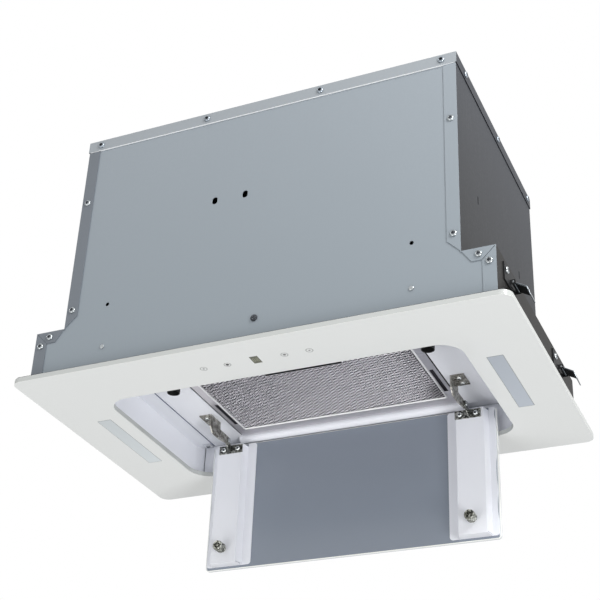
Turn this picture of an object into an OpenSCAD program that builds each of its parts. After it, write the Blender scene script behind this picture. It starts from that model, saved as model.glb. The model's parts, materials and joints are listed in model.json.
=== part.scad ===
// Built-in range hood with a hinged suction door, drawn hanging open.
// X runs to the right, Y to the rear and Z up. The origin is the middle of the glass panel,
// on the plane where the rim bears on the underside of the cabinet.

/* [Panel] */
// Width of the glass panel
panel_w = 600; // [590:1:700]
// Depth of the glass panel, front to rear
panel_d = 374; // [368:1:460]
// Corner radius of the glass panel
panel_r = 12; // [4:1:20]
// Thickness of the glass
glass_t = 6; // [5:0.5:8]
// Width of the opening in the glass
opening_w = 437; // [420:1:440]
// Depth of the opening in the glass
opening_d = 242; // [238:1:246]
// How far the opening lies behind the middle of the panel
opening_back = 13; // [12:0.5:14]
// Corner radius of the opening
opening_r = 28; // [15:1:40]
// Thickness of the foam seal on the rim
seal_t = 3; // [2:0.5:5]
// Width of the foam seal
seal_w = 10; // [6:1:12]

/* [Case] */
// Width of the upper part of the case
upper_w = 491; // [480:1:510]
// Width of the lower part of the case, which passes the cut-out
lower_w = 567; // [562:1:575]
// Distance from the middle of the panel to the front of the case
front_y = 171.5; // [168:0.5:174]
// Distance from the middle of the panel to the rear of the upper part
upper_rear = 143.5; // [142.5:0.5:148]
// Distance from the middle of the panel to the rear of the lower part
lower_rear = 154.5; // [150:0.5:160]
// Height of the step above the seat
step_h = 61.5; // [58:0.5:75]
// Height of the case above the seat
case_h = 336; // [332:1:380]
// Thickness of the sheet
sheet_t = 1; // [0.8:0.1:1.2]
// Width of the folded flanges
flange_w = 15.5; // [12:0.5:18]
// Height of the lid's skirt
skirt_h = 15.5; // [12:0.5:20]

/* [Recess] */
// How far the tray stands back from the edge of the glass
tray_gap = 5.5; // [4:0.5:7]
// Height of the recess above the seat
ceiling_h = 37.5; // [36:0.5:40]
// Corner radius of the tray
tray_r = 12; // [8:1:16]
// Width of the ledge along the sides of the tray
ledge_w = 23.5; // [20:0.5:25]
// Radius of the rolled lip behind the filter
lip_r = 7; // [5:0.5:7.5]

/* [Filter] */
// Width of the grease filter
filter_w = 300; // [280:1:302]
// Depth of the grease filter
filter_d = 171; // [160:1:173]
// Thickness of the grease filter
filter_t = 9; // [7:0.5:12]
// Distance from the middle of the panel to the rear edge of the filter
filter_rear = 121; // [119:0.5:121.5]
// Width of the frame's side rails
filter_rail = 12; // [9:0.5:15]
// Width of the frame's rear rail
filter_rear_rail = 18; // [14:0.5:20]
// Width of the frame's front rail
filter_front_rail = 20; // [18:0.5:26]
// Openings in the mesh across the filter
mesh_across = 24; // [12:1:24]
// Openings in the mesh along the filter
mesh_along = 12; // [8:1:12]

/* [Door] */
// Width of the door glass
door_w = 388; // [384:1:400]
// Depth of the door glass
door_d = 171; // [165:1:173]
// Thickness of the door glass
door_t = 5; // [4:0.5:6]
// Corner radius of the door glass
door_r = 5; // [2:0.5:10]
// Distance from the middle of the panel to the hinge line
hinge_y = 100; // [99:0.5:101]
// Height of the hinge line above the seat
hinge_h = 23; // [22:0.5:24]
// How far the glass reaches behind the hinge line
door_back = 5; // [4:0.5:6]
// Height of the door rails
rail_h = 14; // [13:0.5:15]
// Length of the door rails
rail_l = 162; // [150:1:165]
// Distance between the two catch studs
catch_w = 328; // [325:1:330]
// Distance from the hinge line to the catch studs
catch_d = 144; // [142:0.5:146]

/* [Air] */
// Outside diameter of the duct collar
duct_d = 148; // [120:1:148]
// Height of the duct collar above the case
duct_h = 38; // [30:1:45]
// Diameter of the impeller
impeller_d = 170; // [150:1:180]
// Width of the impeller
impeller_w = 120; // [100:1:125]
// Inner width of the scroll
scroll_w = 136; // [130:1:140]
// Gap between the filter's top and the low side of the scroll
fan_gap = 19.45; // [12:0.05:22]
// Number of impeller blades
blade_count = 36; // [24:1:40]

/* [Clips] */
// Width of a spring clip
clip_w = 20; // [14:1:24]
// How far a clip's tip stands out from the case
clip_reach = 22; // [20:1:28]

/* [Hidden] */
$fn = 48;

// How far a cutting tool runs past the face that it cuts
over = 0.5;
// Gap between pieces that only lie beside each other
gap = 0.3;
// Running clearance of a pin, on its radius
run = 0.05;
// Slip clearance of a screw in its hole, on the radius
slip = 0.2;

// Panel and seat
glass_top = -seal_t;
glass_bottom = -seal_t - glass_t;
lamp_w = 19;
lamp_d = 131;
lamp_x = 247;
lamp_y = 2;
lamp_wall = 1.2;
lamp_h = 15;
lamp_margin = 5;
board_t = 1.6;
icon_y = -143.5;
icon_x = -3.5;
icon_gap = 35;
icon_pitch = 30;
icon_r = 4.4;
icon_line = 1;
icon_depth = 0.5;
window_w = 10;
window_d = 16;
touch_board_w = 164;
touch_board_d = 24;
frame_t = 1.2;
frame_lip = 12;
icon_places = [
    icon_x - icon_gap - icon_pitch, icon_x - icon_gap, icon_x + icon_gap, icon_x + icon_gap + icon_pitch
];

// Case
upper_x = upper_w / 2;
lower_x = lower_w / 2;
lid_under = case_h - sheet_t;
skirt_z = case_h - skirt_h / 2;
mitre_share = 0.7;
seam = 0.4;
hem_h = 4;
hem_gap = 0.1;
case_y = (upper_rear - front_y) / 2;
lid_front_shares = [-0.93, -0.31, 0.31, 0.93];
lid_side_shares = [-0.79, 0.05, 0.92];
flange_screw_down = 95;
flange_screw_up = 24;
upper_flange_z = [case_h - flange_screw_down, step_h + flange_screw_up];
lower_screw_down = 18.5;
plate_hole_in = 55.5;
plate_hole_up = 23.5;
plate_hole_r = 2.5;
rivet_in = 94;
rivet_z = 27.6;
rivet_r = 3;
rivet_h = 1.6;
front_screw_x = 5.4;
oval_x = [-56.8, -16.9];
oval_z = 201;
oval_w = 7;
oval_h = 10;
slit_y = [-101, 70];
slit_z = 173;
slit_w = 2.5;
slit_h = 11;

// Screws: radius and height of the head, radius and length of the shank
head_r = 4.1;
head_h = 2.4;
shank_r = 1.9;
shank_l = 8;
cross_w = 1.1;
cross_l = 4.6;
cross_depth = 1.4;
dome_shares = [[1, 0.35], [0.93, 0.65], [0.78, 0.88], [0.55, 1]];
small_head_r = 2.9;
small_head_h = 1.6;
small_shank_r = 1.4;
small_shank_l = 3;

// Recess
tray_w = opening_w + 2 * tray_gap;
tray_d = opening_d + 2 * tray_gap;
tray_rear = opening_back + tray_d / 2;
tray_front = opening_back - tray_d / 2;
ledge_x = tray_w / 2 - ledge_w;
ledge_front_w = 18;
ledge_seam = 0.8;
corner_gap = 1;
corner_return = 9;
corner_x = tray_w / 2 - corner_return;
ear_w = 12;
ear_l = 10;
surround_side = 2;
surround_front = 2;
surround_lip = 6;
lip_over = 6;
lip_end_x = filter_w / 2 + lip_over;

// Filter
filter_x = filter_w / 2;
filter_front = filter_rear - filter_d;
filter_z = ceiling_h + gap;
filter_skin = 0.8;
slot_y = [28, 88];
slot_w = 5;
slot_inset = 7;
grip_w = 100;
grip_d = 26;
latch_w = 40;
latch_d = 6;
latch_h = 5;
tongue_w = 16;
tongue_h = 2;
peg_r = 1.5;
peg_in = 2;
peg_z = filter_z + filter_t / 3;
mesh_t = 0.8;
core_layers = 4;
core_sheet_t = 0.4;
mesh_line_share = 0.34;

// Door and hinges, drawn closed about the hinge line
door_bottom = glass_bottom;
door_top = door_bottom + door_t;
rail_top = door_top + rail_h;
rail_back = 0.2;
rail_rear = hinge_y - rail_back;
rail_in = 131;
rail_web_in = 143;
rail_web_out = 184;
rail_out = 192;
rail_slope = 3;
rail_lap = 4.4;
rail_relief_y = [95, 19, -27];
rail_relief_l = [17, 45, 37];
rail_relief_d = 1.2;
rail_relief_steps = 8;
rail_slit_w = 0.8;
plate_gap = 10;
plate_x = filter_w / 2 + plate_gap;
plate_t = 1.5;
pin_r = 2;
eye_r = 5;
bracket_front = 48;
bracket_rear = 76;
bracket_arm_h = 9;
bracket_flange_w = 17;
bracket_screw_out = 9;
bracket_screw_x = plate_x + bracket_screw_out;
bracket_screw_y = [56, 69.5];
leaf_reach_in = 15;
leaf_reach_out = 18;
leaf_in = plate_x - leaf_reach_in;
leaf_out = plate_x + leaf_reach_out;
leaf_front = 87;
leaf_rear = 98;
leaf_screw_in = 6.5;
leaf_screw_x = [leaf_in + leaf_screw_in, leaf_out - leaf_screw_in];
leaf_screw_y = 92.5;
stud_r = 6.5;
stud_h = 16;
stud_neck_r = 4;
stud_neck_h = 3;
stud_clear = 0.5;
socket_wall = 1;
socket_bore_r = stud_r + stud_clear;
socket_r = socket_bore_r + socket_wall;
stud_bite = 2;
socket_bottom = rail_top + stud_h - stud_bite;
socket_top_t = 3;

// Fan, with the scroll's spiral about the fan's axis
fan_y = case_y;
scroll_x = scroll_w / 2;
scroll_start = 80;
scroll_turn = 10;
impeller_r = impeller_d / 2;
scroll_clear = 10;
scroll_r = impeller_r + scroll_clear;
scroll_grow = 35;
scroll_low_turn = 270;
fan_h = filter_z + filter_t + spiral_r(scroll_low_turn) + fan_gap;
blade_depth = 15;
inlet_r = impeller_r - blade_depth;
disc_t = 2;
hub_r = 12;
hub_l = 16;
blade_t = 1;
blade_lean = 35;
shaft_r = 4;
shaft_l = 112;
motor_r = 42;
motor_l = 78;
motor_x = 14;
arm_w = 10;
arm_t = 2;
bracket_ring_w = 10;
throat_front = fan_y + scroll_r * cos(scroll_start);
throat_rear = fan_y + scroll_r + scroll_grow;
duct_y = (throat_front + throat_rear) / 2;
duct_r = duct_d / 2;
collar_t = 1.5;
collar_flange = 6;
rod_r = 1.5;
rod_rise = 12;
rod_z = case_h + rod_rise;
flap_t = 1;
flap_play = 2;
knuckle_r = 3;

// Electrics
box_side = 10.5;
box_x = -upper_x + box_side;
box_w = 80;
box_front = 41.5;
box_y = -front_y + box_front;
box_d = 110;
box_h = 36;
box_t = 2;
post_r = 3;
post_h = 6;
capacitor_r = 17;
capacitor_l = 62;
capacitor_side = 85.5;
capacitor_x = upper_x - capacitor_side;
capacitor_front = 61.5;
capacitor_y = -front_y + capacitor_front;
gland_side = 65.5;
gland_x = -upper_x + gland_side;
gland_down = 41;
gland_z = case_h - gland_down;
gland_r = 7;
gland_nut_r = 10;
gland_nut_t = 4;
gland_l = 12;
gland_bore_r = 3.6;

// Clips
clip_y = [-117, 86];
clip_bolt_y = [-140, 63];
clip_bolt_z = 48;
clip_base_t = 1.5;
clip_base_low = 33;
clip_base_high = 55;
clip_pin_out = 5;
clip_pin_x = lower_x + clip_pin_out;
clip_pin_z = 40;
clip_knuckle_r = 2.6;
clip_pin_r = 1.2;
clip_t = 1.2;
clip_ear_t = 1.5;
clip_bend_share = [0.8, 0.44];
clip_root_share = 0.09;
clip_drop = 18;

// Helpers
module rounded(w, d, r) {
    square([w - 2 * r, d], center = true);
    square([w, d - 2 * r], center = true);
    for (sx = [-1, 1], sy = [-1, 1])
        translate([sx * (w / 2 - r), sy * (d / 2 - r)])
            circle(r);
}

module upright_slot(w, h) {
    square([w, h - w], center = true);
    for (s = [-1, 1])
        translate([0, s * (h - w) / 2])
            circle(w / 2);
}

// A sheet that stands across Y: drawn in X and Z, its front face at y
module across(y, t) {
    translate([0, y + t, 0])
        rotate([90, 0, 0])
            linear_extrude(t)
                children();
}

// A sheet that stands along Y: drawn in Y and Z, its left face at x
module along(x, t) {
    translate([x, 0, 0])
        rotate([90, 0, 90])
            linear_extrude(t)
                children();
}

module both_sides() {
    children();
    mirror([1, 0, 0])
        children();
}

// Turns a piece that points up so that it points to the front, rear, right, left or down
module facing(side) {
    turn = side == "front" ? [90, 0, 0]
        : side == "rear" ? [-90, 0, 0]
        : side == "right" ? [0, 90, 0]
        : side == "left" ? [0, -90, 0]
        : [180, 0, 0];
    rotate(turn)
        children();
}

module domed(r, h) {
    rotate_extrude()
        polygon([[0, 0], [r, 0], for (s = dome_shares) [r * s[0], h * s[1]], [0, h]]);
}

module pan_screw(hr = head_r, hh = head_h, sr = shank_r, sl = shank_l) {
    difference() {
        union() {
            domed(hr, hh);
            translate([0, 0, -sl])
                cylinder(r = sr, h = sl);
        }
        for (turn = [0, 90])
            rotate([0, 0, turn])
                translate([0, 0, hh])
                    cube([cross_l * hr / head_r, cross_w * hr / head_r, cross_depth * hh / head_h * 2],
                        center = true);
    }
}

module small_screw() {
    pan_screw(small_head_r, small_head_h, small_shank_r, small_shank_l);
}

module drill(r = shank_r) {
    translate([0, 0, -shank_l])
        cylinder(r = r + slip, h = 2 * shank_l);
}

// Places of the screws
module at_lid_front() {
    for (s = lid_front_shares)
        translate([s * upper_x, -front_y - 2 * sheet_t, skirt_z])
            facing("front")
                children();
}

module at_lid_rear() {
    for (s = lid_front_shares)
        translate([s * upper_x, upper_rear + 2 * sheet_t, skirt_z])
            facing("rear")
                children();
}

module at_lid_right() {
    for (s = lid_side_shares)
        translate([upper_x + sheet_t, case_y + s * (front_y + upper_rear) / 2, skirt_z])
            facing("right")
                children();
}

module at_flanges_right() {
    flange_x = upper_x - flange_w / 2;
    for (z = upper_flange_z) {
        translate([flange_x, -front_y - sheet_t, z])
            facing("front")
                children();
        translate([flange_x, upper_rear + sheet_t, z])
            facing("rear")
                children();
    }
    translate([(upper_x + lower_x) / 2, -front_y - sheet_t, step_h - flange_w / 2])
        facing("front")
            children();
    for (s = [-1, 1])
        translate([
            lower_x - flange_w / 2, s < 0 ? -front_y - sheet_t : lower_rear + sheet_t,
            step_h - lower_screw_down
        ])
            facing(s < 0 ? "front" : "rear")
                children();
}

module at_clips_right() {
    for (y = clip_bolt_y)
        translate([lower_x + clip_base_t, y, clip_bolt_z])
            facing("right")
                children();
}

module at_rivets() {
    for (s = [-1, 1])
        translate([s * (lower_x - rivet_in), -front_y, rivet_z])
            facing("front")
                children();
}

module at_front_screw() {
    translate([front_screw_x, -front_y, rivet_z])
        facing("front")
            children();
}

module at_ears() {
    for (s = [-1, 1])
        translate([s * (corner_x - corner_gap - ear_w / 2), tray_rear - ear_l / 2, ceiling_h - sheet_t])
            facing("down")
                children();
}

module at_brackets_right() {
    for (y = bracket_screw_y)
        translate([bracket_screw_x, y, ceiling_h - plate_t])
            facing("down")
                children();
}

module at_leaves_right() {
    for (x = leaf_screw_x)
        translate([x, leaf_screw_y, rail_top + plate_t])
            children();
}

module at_catches() {
    for (s = [-1, 1])
        translate([s * catch_w / 2, hinge_y - catch_d, 0])
            children();
}

// Panel
module opening_shape(grow = 0) {
    translate([0, opening_back])
        rounded(opening_w + 2 * grow, opening_d + 2 * grow, opening_r);
}

module tray_shape(grow = 0) {
    translate([0, opening_back])
        rounded(tray_w + 2 * grow, tray_d + 2 * grow, tray_r + grow);
}

module lamp_shape(grow = 0) {
    for (s = [-1, 1])
        translate([s * lamp_x, lamp_y])
            square([lamp_w + 2 * grow, lamp_d + 2 * grow], center = true);
}

module ring_marks() {
    for (x = icon_places)
        translate([x, icon_y])
            difference() {
                circle(icon_r);
                circle(icon_r - icon_line);
            }
}

module glass_panel() {
    color([0.86, 0.87, 0.87])
        difference() {
            translate([0, 0, glass_bottom])
                linear_extrude(glass_t)
                    difference() {
                        rounded(panel_w, panel_d, panel_r);
                        opening_shape();
                        lamp_shape();
                        translate([icon_x, icon_y])
                            square([window_w, window_d], center = true);
                    }
            translate([0, 0, glass_bottom - over])
                linear_extrude(icon_depth + over)
                    ring_marks();
        }
}

module touch_rings() {
    color([0.62, 0.63, 0.63])
        translate([0, 0, glass_bottom])
            linear_extrude(icon_depth)
                ring_marks();
}

module display_window() {
    color([0.2, 0.21, 0.18])
        translate([icon_x, icon_y, glass_bottom + glass_t / 2])
            cube([window_w, window_d, glass_t], center = true);
}

module touch_board() {
    color([0.1, 0.35, 0.2])
        translate([icon_x - touch_board_w / 2, icon_y - touch_board_d / 2, glass_top])
            cube([touch_board_w, touch_board_d, board_t]);
}

module rim_seal() {
    inner_x = lower_x + gap;
    front = -front_y - sheet_t - gap;
    rear = lower_rear + sheet_t + gap;
    color([0.16, 0.16, 0.17])
        translate([0, 0, glass_top])
            difference() {
                translate([-inner_x - seal_w, front - seal_w, 0])
                    cube([2 * (inner_x + seal_w), rear - front + 2 * seal_w, seal_t]);
                translate([-inner_x, front, -over])
                    cube([2 * inner_x, rear - front, seal_t + 2 * over]);
            }
}

module panel_frame() {
    outer_x = lower_x - sheet_t;
    front = -front_y + sheet_t;
    rear = lower_rear - sheet_t;
    color([0.66, 0.68, 0.7])
        difference() {
            translate([-outer_x, front, glass_top])
                cube([2 * outer_x, rear - front, frame_lip]);
            translate([-outer_x + frame_t, front + frame_t, glass_top + frame_t])
                cube([2 * (outer_x - frame_t), rear - front - 2 * frame_t, frame_lip]);
            translate([0, 0, glass_top - over])
                linear_extrude(frame_t + 2 * over) {
                    tray_shape(sheet_t + gap);
                    lamp_shape(lamp_margin + lamp_wall + gap);
                    translate([icon_x, icon_y])
                        square([touch_board_w + 2 * gap, touch_board_d + 2 * gap], center = true);
                }
        }
}

// Case
module front_outline() {
    inner_upper = upper_x - sheet_t;
    inner_lower = lower_x - sheet_t;
    polygon([
        [-inner_lower, glass_top], [inner_lower, glass_top], [inner_lower, step_h - sheet_t],
        [inner_upper, step_h - sheet_t], [inner_upper, lid_under], [-inner_upper, lid_under],
        [-inner_upper, step_h - sheet_t], [-inner_lower, step_h - sheet_t]
    ]);
}

module front_plate() {
    color([0.66, 0.7, 0.72])
        difference() {
            across(-front_y, sheet_t)
                difference() {
                    front_outline();
                    for (x = oval_x)
                        translate([x, oval_z])
                            upright_slot(oval_w, oval_h);
                    for (s = [-1, 1])
                        translate([s * (upper_x - plate_hole_in), step_h + plate_hole_up])
                            circle(plate_hole_r);
                }
            at_lid_front()
                drill();
            both_sides()
                at_flanges_right()
                    drill();
            at_rivets()
                drill(rivet_r / 2);
            at_front_screw()
                drill();
        }
}

module rear_plate() {
    inner_upper = upper_x - sheet_t;
    inner_lower = lower_x - sheet_t;
    color([0.64, 0.67, 0.69])
        difference() {
            union() {
                across(upper_rear - sheet_t, sheet_t)
                    translate([-inner_upper, step_h - sheet_t])
                        square([2 * inner_upper, lid_under - step_h + sheet_t]);
                translate([-inner_upper, upper_rear - sheet_t, step_h - sheet_t])
                    cube([2 * inner_upper, lower_rear - upper_rear + sheet_t, sheet_t]);
                across(lower_rear - sheet_t, sheet_t)
                    translate([-inner_lower, glass_top])
                        square([2 * inner_lower, step_h - sheet_t - glass_top]);
            }
            at_lid_rear()
                drill();
            both_sides()
                at_flanges_right()
                    drill();
            translate([gland_x, upper_rear, gland_z])
                facing("rear")
                    cylinder(r = gland_r + slip, h = 2 * gland_l, center = true);
        }
}

module upper_flange() {
    polygon([
        [upper_x, lid_under], [upper_x - flange_w, lid_under],
        [upper_x - flange_w, step_h + flange_w], [upper_x, step_h]
    ]);
}

module lower_flange() {
    polygon([
        [lower_x, step_h - seam], [lower_x - flange_w, step_h - seam - flange_w],
        [lower_x - flange_w, glass_top], [lower_x, glass_top]
    ]);
}

module step_flange() {
    polygon([
        [upper_x, step_h], [upper_x + flange_w * mitre_share, step_h - flange_w],
        [lower_x - flange_w - seam, step_h - flange_w], [lower_x - seam, step_h]
    ]);
}

module side_panel() {
    front = -front_y - sheet_t;
    difference() {
        union() {
            translate([upper_x - sheet_t, front, step_h - sheet_t])
                cube([sheet_t, upper_rear + sheet_t - front, lid_under - step_h + sheet_t]);
            translate([upper_x - sheet_t, front, step_h - sheet_t])
                cube([lower_x - upper_x + sheet_t, lower_rear + sheet_t - front, sheet_t]);
            translate([lower_x - sheet_t, front, glass_top])
                cube([sheet_t, lower_rear + sheet_t - front, step_h - glass_top]);
            across(front, sheet_t) {
                upper_flange();
                step_flange();
                lower_flange();
            }
            across(upper_rear, sheet_t)
                upper_flange();
            across(lower_rear, sheet_t)
                lower_flange();
        }
        for (y = slit_y)
            translate([upper_x, y, slit_z])
                cube([4 * sheet_t, slit_w, slit_h], center = true);
        at_lid_front()
            drill();
        at_lid_rear()
            drill();
        at_lid_right()
            drill();
        at_flanges_right()
            drill();
        at_clips_right()
            drill();
    }
}

module left_side_panel() {
    color([0.42, 0.43, 0.44])
        mirror([1, 0, 0])
            side_panel();
}

module right_side_panel() {
    color([0.42, 0.43, 0.44])
        side_panel();
}

module top_lid() {
    front = -front_y - 2 * sheet_t;
    rear = upper_rear + 2 * sheet_t;
    outer_x = upper_x + sheet_t;
    hem_x = upper_x - flange_w - gap;
    hem_out = sheet_t - hem_gap;
    color([0.68, 0.7, 0.72])
        difference() {
            union() {
                difference() {
                    translate([-outer_x, front, case_h - skirt_h])
                        cube([2 * outer_x, rear - front, skirt_h]);
                    translate([-upper_x, front + sheet_t, case_h - skirt_h - over])
                        cube([2 * upper_x, rear - front - 2 * sheet_t, skirt_h - sheet_t + over]);
                }
                for (y = [front + sheet_t / 2, rear - sheet_t - hem_out])
                    translate([-hem_x, y, case_h - skirt_h])
                        cube([2 * hem_x, hem_out + sheet_t / 2, hem_h]);
            }
            translate([0, duct_y, lid_under - over])
                cylinder(r = duct_r - collar_t, h = sheet_t + 2 * over);
            at_lid_front()
                drill();
            at_lid_rear()
                drill();
            both_sides()
                at_lid_right()
                    drill();
        }
}

module lid_screws() {
    color([0.75, 0.77, 0.78]) {
        at_lid_front()
            pan_screw();
        at_lid_rear()
            pan_screw();
        both_sides()
            at_lid_right()
                pan_screw();
    }
}

module case_screws() {
    color([0.75, 0.77, 0.78])
        both_sides() {
            at_flanges_right()
                pan_screw();
            at_clips_right()
                pan_screw();
        }
}

module front_rivets() {
    color([0.82, 0.83, 0.84])
        at_rivets()
            union() {
                domed(rivet_r, rivet_h);
                translate([0, 0, -2 * sheet_t])
                    cylinder(r = rivet_r / 2, h = 2 * sheet_t);
            }
}

module front_screw() {
    color([0.3, 0.3, 0.3])
        at_front_screw()
            pan_screw();
}

// Recess
module recess_tray() {
    color([0.9, 0.91, 0.93])
        difference() {
            union() {
                translate([0, 0, glass_top])
                    linear_extrude(ceiling_h + sheet_t - glass_top)
                        difference() {
                            tray_shape(sheet_t);
                            tray_shape();
                            translate([-corner_x, tray_rear - tray_r])
                                square([2 * corner_x, 2 * tray_r]);
                        }
                translate([0, 0, ceiling_h])
                    linear_extrude(sheet_t)
                        difference() {
                            tray_shape(sheet_t);
                            translate([-ledge_x, tray_front + ledge_front_w])
                                square([2 * ledge_x, tray_d]);
                        }
            }
            at_ears()
                drill(small_shank_r);
        }
}

module recess_rear_plate() {
    plate_half = corner_x - corner_gap;
    color([0.9, 0.91, 0.93])
        difference() {
            union() {
                translate([-plate_half, tray_rear, glass_top])
                    cube([2 * plate_half, sheet_t, ceiling_h - glass_top]);
                for (s = [-1, 1])
                    translate([s * (plate_half - ear_w / 2), tray_rear - ear_l / 2, ceiling_h - sheet_t / 2])
                        cube([ear_w, ear_l + sheet_t, sheet_t], center = true);
            }
            at_ears()
                drill(small_shank_r);
        }
}

module filter_surround() {
    half_x = ledge_x - ledge_seam;
    front = tray_front + ledge_front_w + ledge_seam;
    rear = tray_rear - gap;
    hole_x = filter_x + surround_side;
    hole_front = filter_front - surround_front;
    hole_rear = filter_rear + surround_front;
    lip_y = hole_rear + lip_r;
    color([0.9, 0.91, 0.93])
        difference() {
            union() {
                translate([-half_x, front, ceiling_h])
                    cube([2 * half_x, rear - front, sheet_t]);
                translate([-hole_x - sheet_t, hole_front - sheet_t, ceiling_h])
                    cube([2 * (hole_x + sheet_t), hole_rear - hole_front + 2 * sheet_t, surround_lip]);
                translate([-lip_end_x, 0, 0])
                    along(0, 2 * lip_end_x)
                        intersection() {
                            translate([lip_y, ceiling_h])
                                circle(lip_r);
                            translate([lip_y - lip_r, ceiling_h - lip_r])
                                square([2 * lip_r, lip_r]);
                        }
            }
            translate([-hole_x, hole_front, ceiling_h - lip_r - over])
                cube([2 * hole_x, hole_rear - hole_front, surround_lip + lip_r + 2 * over]);
            translate([-lip_end_x - over, 0, 0])
                along(0, 2 * (lip_end_x + over))
                    intersection() {
                        translate([lip_y, ceiling_h])
                            circle(lip_r - sheet_t);
                        translate([lip_y - lip_r, ceiling_h - lip_r])
                            square([2 * lip_r, lip_r]);
                    }
            both_sides()
                at_brackets_right()
                    drill(small_shank_r);
            at_pegs()
                cylinder(r = peg_r + run, h = filter_w + 4 * (surround_side + sheet_t), center = true);
        }
}

module recess_screws() {
    color([0.7, 0.71, 0.7])
        at_ears()
            small_screw();
}

// Grease filter
module filter_window() {
    translate([-filter_x + filter_rail, filter_front + filter_front_rail])
        square([filter_w - 2 * filter_rail, filter_d - filter_front_rail - filter_rear_rail]);
}

module grip_shape(grow = 0) {
    translate([-grip_w / 2 - grow, filter_front + 2 * filter_skin - grow])
        square([grip_w + 2 * grow, grip_d + 2 * grow]);
}

module at_pegs() {
    translate([0, filter_rear - peg_in, peg_z])
        rotate([0, 90, 0])
            children();
}

module filter_frame() {
    inner_w = filter_w - 2 * filter_skin;
    inner_d = filter_d - filter_front_rail - filter_skin;
    color([0.66, 0.66, 0.69])
        difference() {
            union() {
                difference() {
                    translate([-filter_x, filter_front, filter_z])
                        cube([filter_w, filter_d, filter_t]);
                    translate([-inner_w / 2, filter_front + filter_front_rail, filter_z + filter_skin])
                        cube([inner_w, inner_d, filter_t - 2 * filter_skin]);
                    translate([0, 0, filter_z - over])
                        linear_extrude(filter_t + 2 * over)
                            filter_window();
                }
                translate([0, 0, filter_z])
                    linear_extrude(filter_t)
                        grip_shape(filter_skin);
                at_pegs()
                    difference() {
                        cylinder(r = peg_r, h = filter_w + 2 * (surround_side + sheet_t), center = true);
                        cylinder(r = 2 * peg_r, h = filter_w - 2 * filter_skin, center = true);
                    }
            }
            translate([0, 0, filter_z - over])
                linear_extrude(filter_t - filter_skin + over)
                    grip_shape();
            for (s = [-1, 1])
                translate([s * (filter_x - slot_inset) - slot_w / 2, slot_y[0], filter_z - over])
                    cube([slot_w, slot_y[1] - slot_y[0], filter_skin + 2 * over]);
            translate([0, filter_front + filter_skin, filter_z + filter_t / 2])
                cube([tongue_w + 2 * gap, 2 * (filter_skin + over), tongue_h + 2 * gap], center = true);
        }
}

module filter_latch() {
    latch_y = filter_front + filter_skin * 2 + gap;
    tongue_y = filter_front - surround_front + 2 * gap;
    color([0.2, 0.2, 0.21])
        union() {
            translate([-latch_w / 2, latch_y, filter_z + filter_t / 2 - latch_h / 2])
                cube([latch_w, latch_d, latch_h]);
            translate([-tongue_w / 2, tongue_y, filter_z + filter_t / 2 - tongue_h / 2])
                cube([tongue_w, latch_y - tongue_y + latch_d / 2, tongue_h]);
        }
}

// The outline of the layers that lie in the frame's channel
module layer_shape() {
    difference() {
        translate([-filter_x + 2 * filter_skin, filter_front + filter_front_rail + filter_skin])
            square([filter_w - 4 * filter_skin, filter_d - filter_front_rail - 3 * filter_skin]);
        grip_shape(filter_skin + gap);
    }
}

module filter_core() {
    first_z = filter_z + filter_skin + mesh_t;
    pitch = (filter_z + filter_t - filter_skin - first_z) / core_layers;
    color([0.55, 0.55, 0.57])
        for (i = [0 : core_layers - 1])
            translate([0, 0, first_z + pitch * (i + 1 / 2) - core_sheet_t / 2])
                linear_extrude(core_sheet_t)
                    layer_shape();
}

module filter_mesh() {
    win_w = filter_w - 2 * filter_rail;
    win_d = filter_d - filter_front_rail - filter_rear_rail;
    step_x = win_w / mesh_across;
    step_y = win_d / mesh_along;
    hole_x = step_x * (1 - mesh_line_share) / 2;
    hole_y = step_y * (1 - mesh_line_share) / 2;
    color([0.62, 0.61, 0.64])
        translate([0, 0, filter_z + filter_skin])
            linear_extrude(mesh_t)
                difference() {
                    layer_shape();
                    for (i = [0 : mesh_across - 1], j = [0 : mesh_along - 1])
                        translate([
                            -win_w / 2 + step_x * (i + 1 / 2),
                            filter_front + filter_front_rail + step_y * (j + 1 / 2)
                        ])
                            polygon([[-hole_x, 0], [0, -hole_y], [hole_x, 0], [0, hole_y]]);
                }
}

// Lamps
module lamp_lens(side) {
    translate([side * lamp_x, lamp_y, glass_bottom + glass_t / 2])
        cube([lamp_w, lamp_d, glass_t], center = true);
}

module left_lamp_lens() {
    color([0.74, 0.77, 0.8])
        lamp_lens(-1);
}

module right_lamp_lens() {
    color([0.74, 0.77, 0.8])
        lamp_lens(1);
}

module lamp_housings() {
    color([0.85, 0.85, 0.86])
        difference() {
            translate([0, 0, glass_top])
                linear_extrude(lamp_h)
                    lamp_shape(lamp_margin + lamp_wall);
            translate([0, 0, glass_top - over])
                linear_extrude(lamp_h - lamp_wall + over)
                    lamp_shape(lamp_margin);
        }
}

module lamp_boards() {
    color([0.92, 0.92, 0.9])
        translate([0, 0, glass_top + lamp_h - lamp_wall - board_t])
            linear_extrude(board_t)
                lamp_shape(lamp_margin - gap);
}

// Hinges on the case
module hinge_bracket() {
    difference() {
        union() {
            along(plate_x, plate_t)
                difference() {
                    union() {
                        polygon([
                            [bracket_front, ceiling_h], [bracket_rear, ceiling_h],
                            [bracket_rear, hinge_h + eye_r], [hinge_y, hinge_h + eye_r],
                            [hinge_y, hinge_h - eye_r], [bracket_rear, hinge_h - bracket_arm_h],
                            [bracket_front + eye_r * 8 / 5, hinge_h - bracket_arm_h],
                            [bracket_front + eye_r / 5, hinge_h - eye_r / 5]
                        ]);
                        translate([hinge_y, hinge_h])
                            circle(eye_r);
                    }
                    translate([hinge_y, hinge_h])
                        circle(pin_r + run);
                }
            translate([plate_x, bracket_front, ceiling_h - plate_t])
                cube([bracket_flange_w, bracket_rear - bracket_front, plate_t]);
        }
        at_brackets_right()
            drill(small_shank_r);
    }
}

module left_hinge_bracket() {
    color([0.5, 0.5, 0.48])
        mirror([1, 0, 0])
            hinge_bracket();
}

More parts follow.
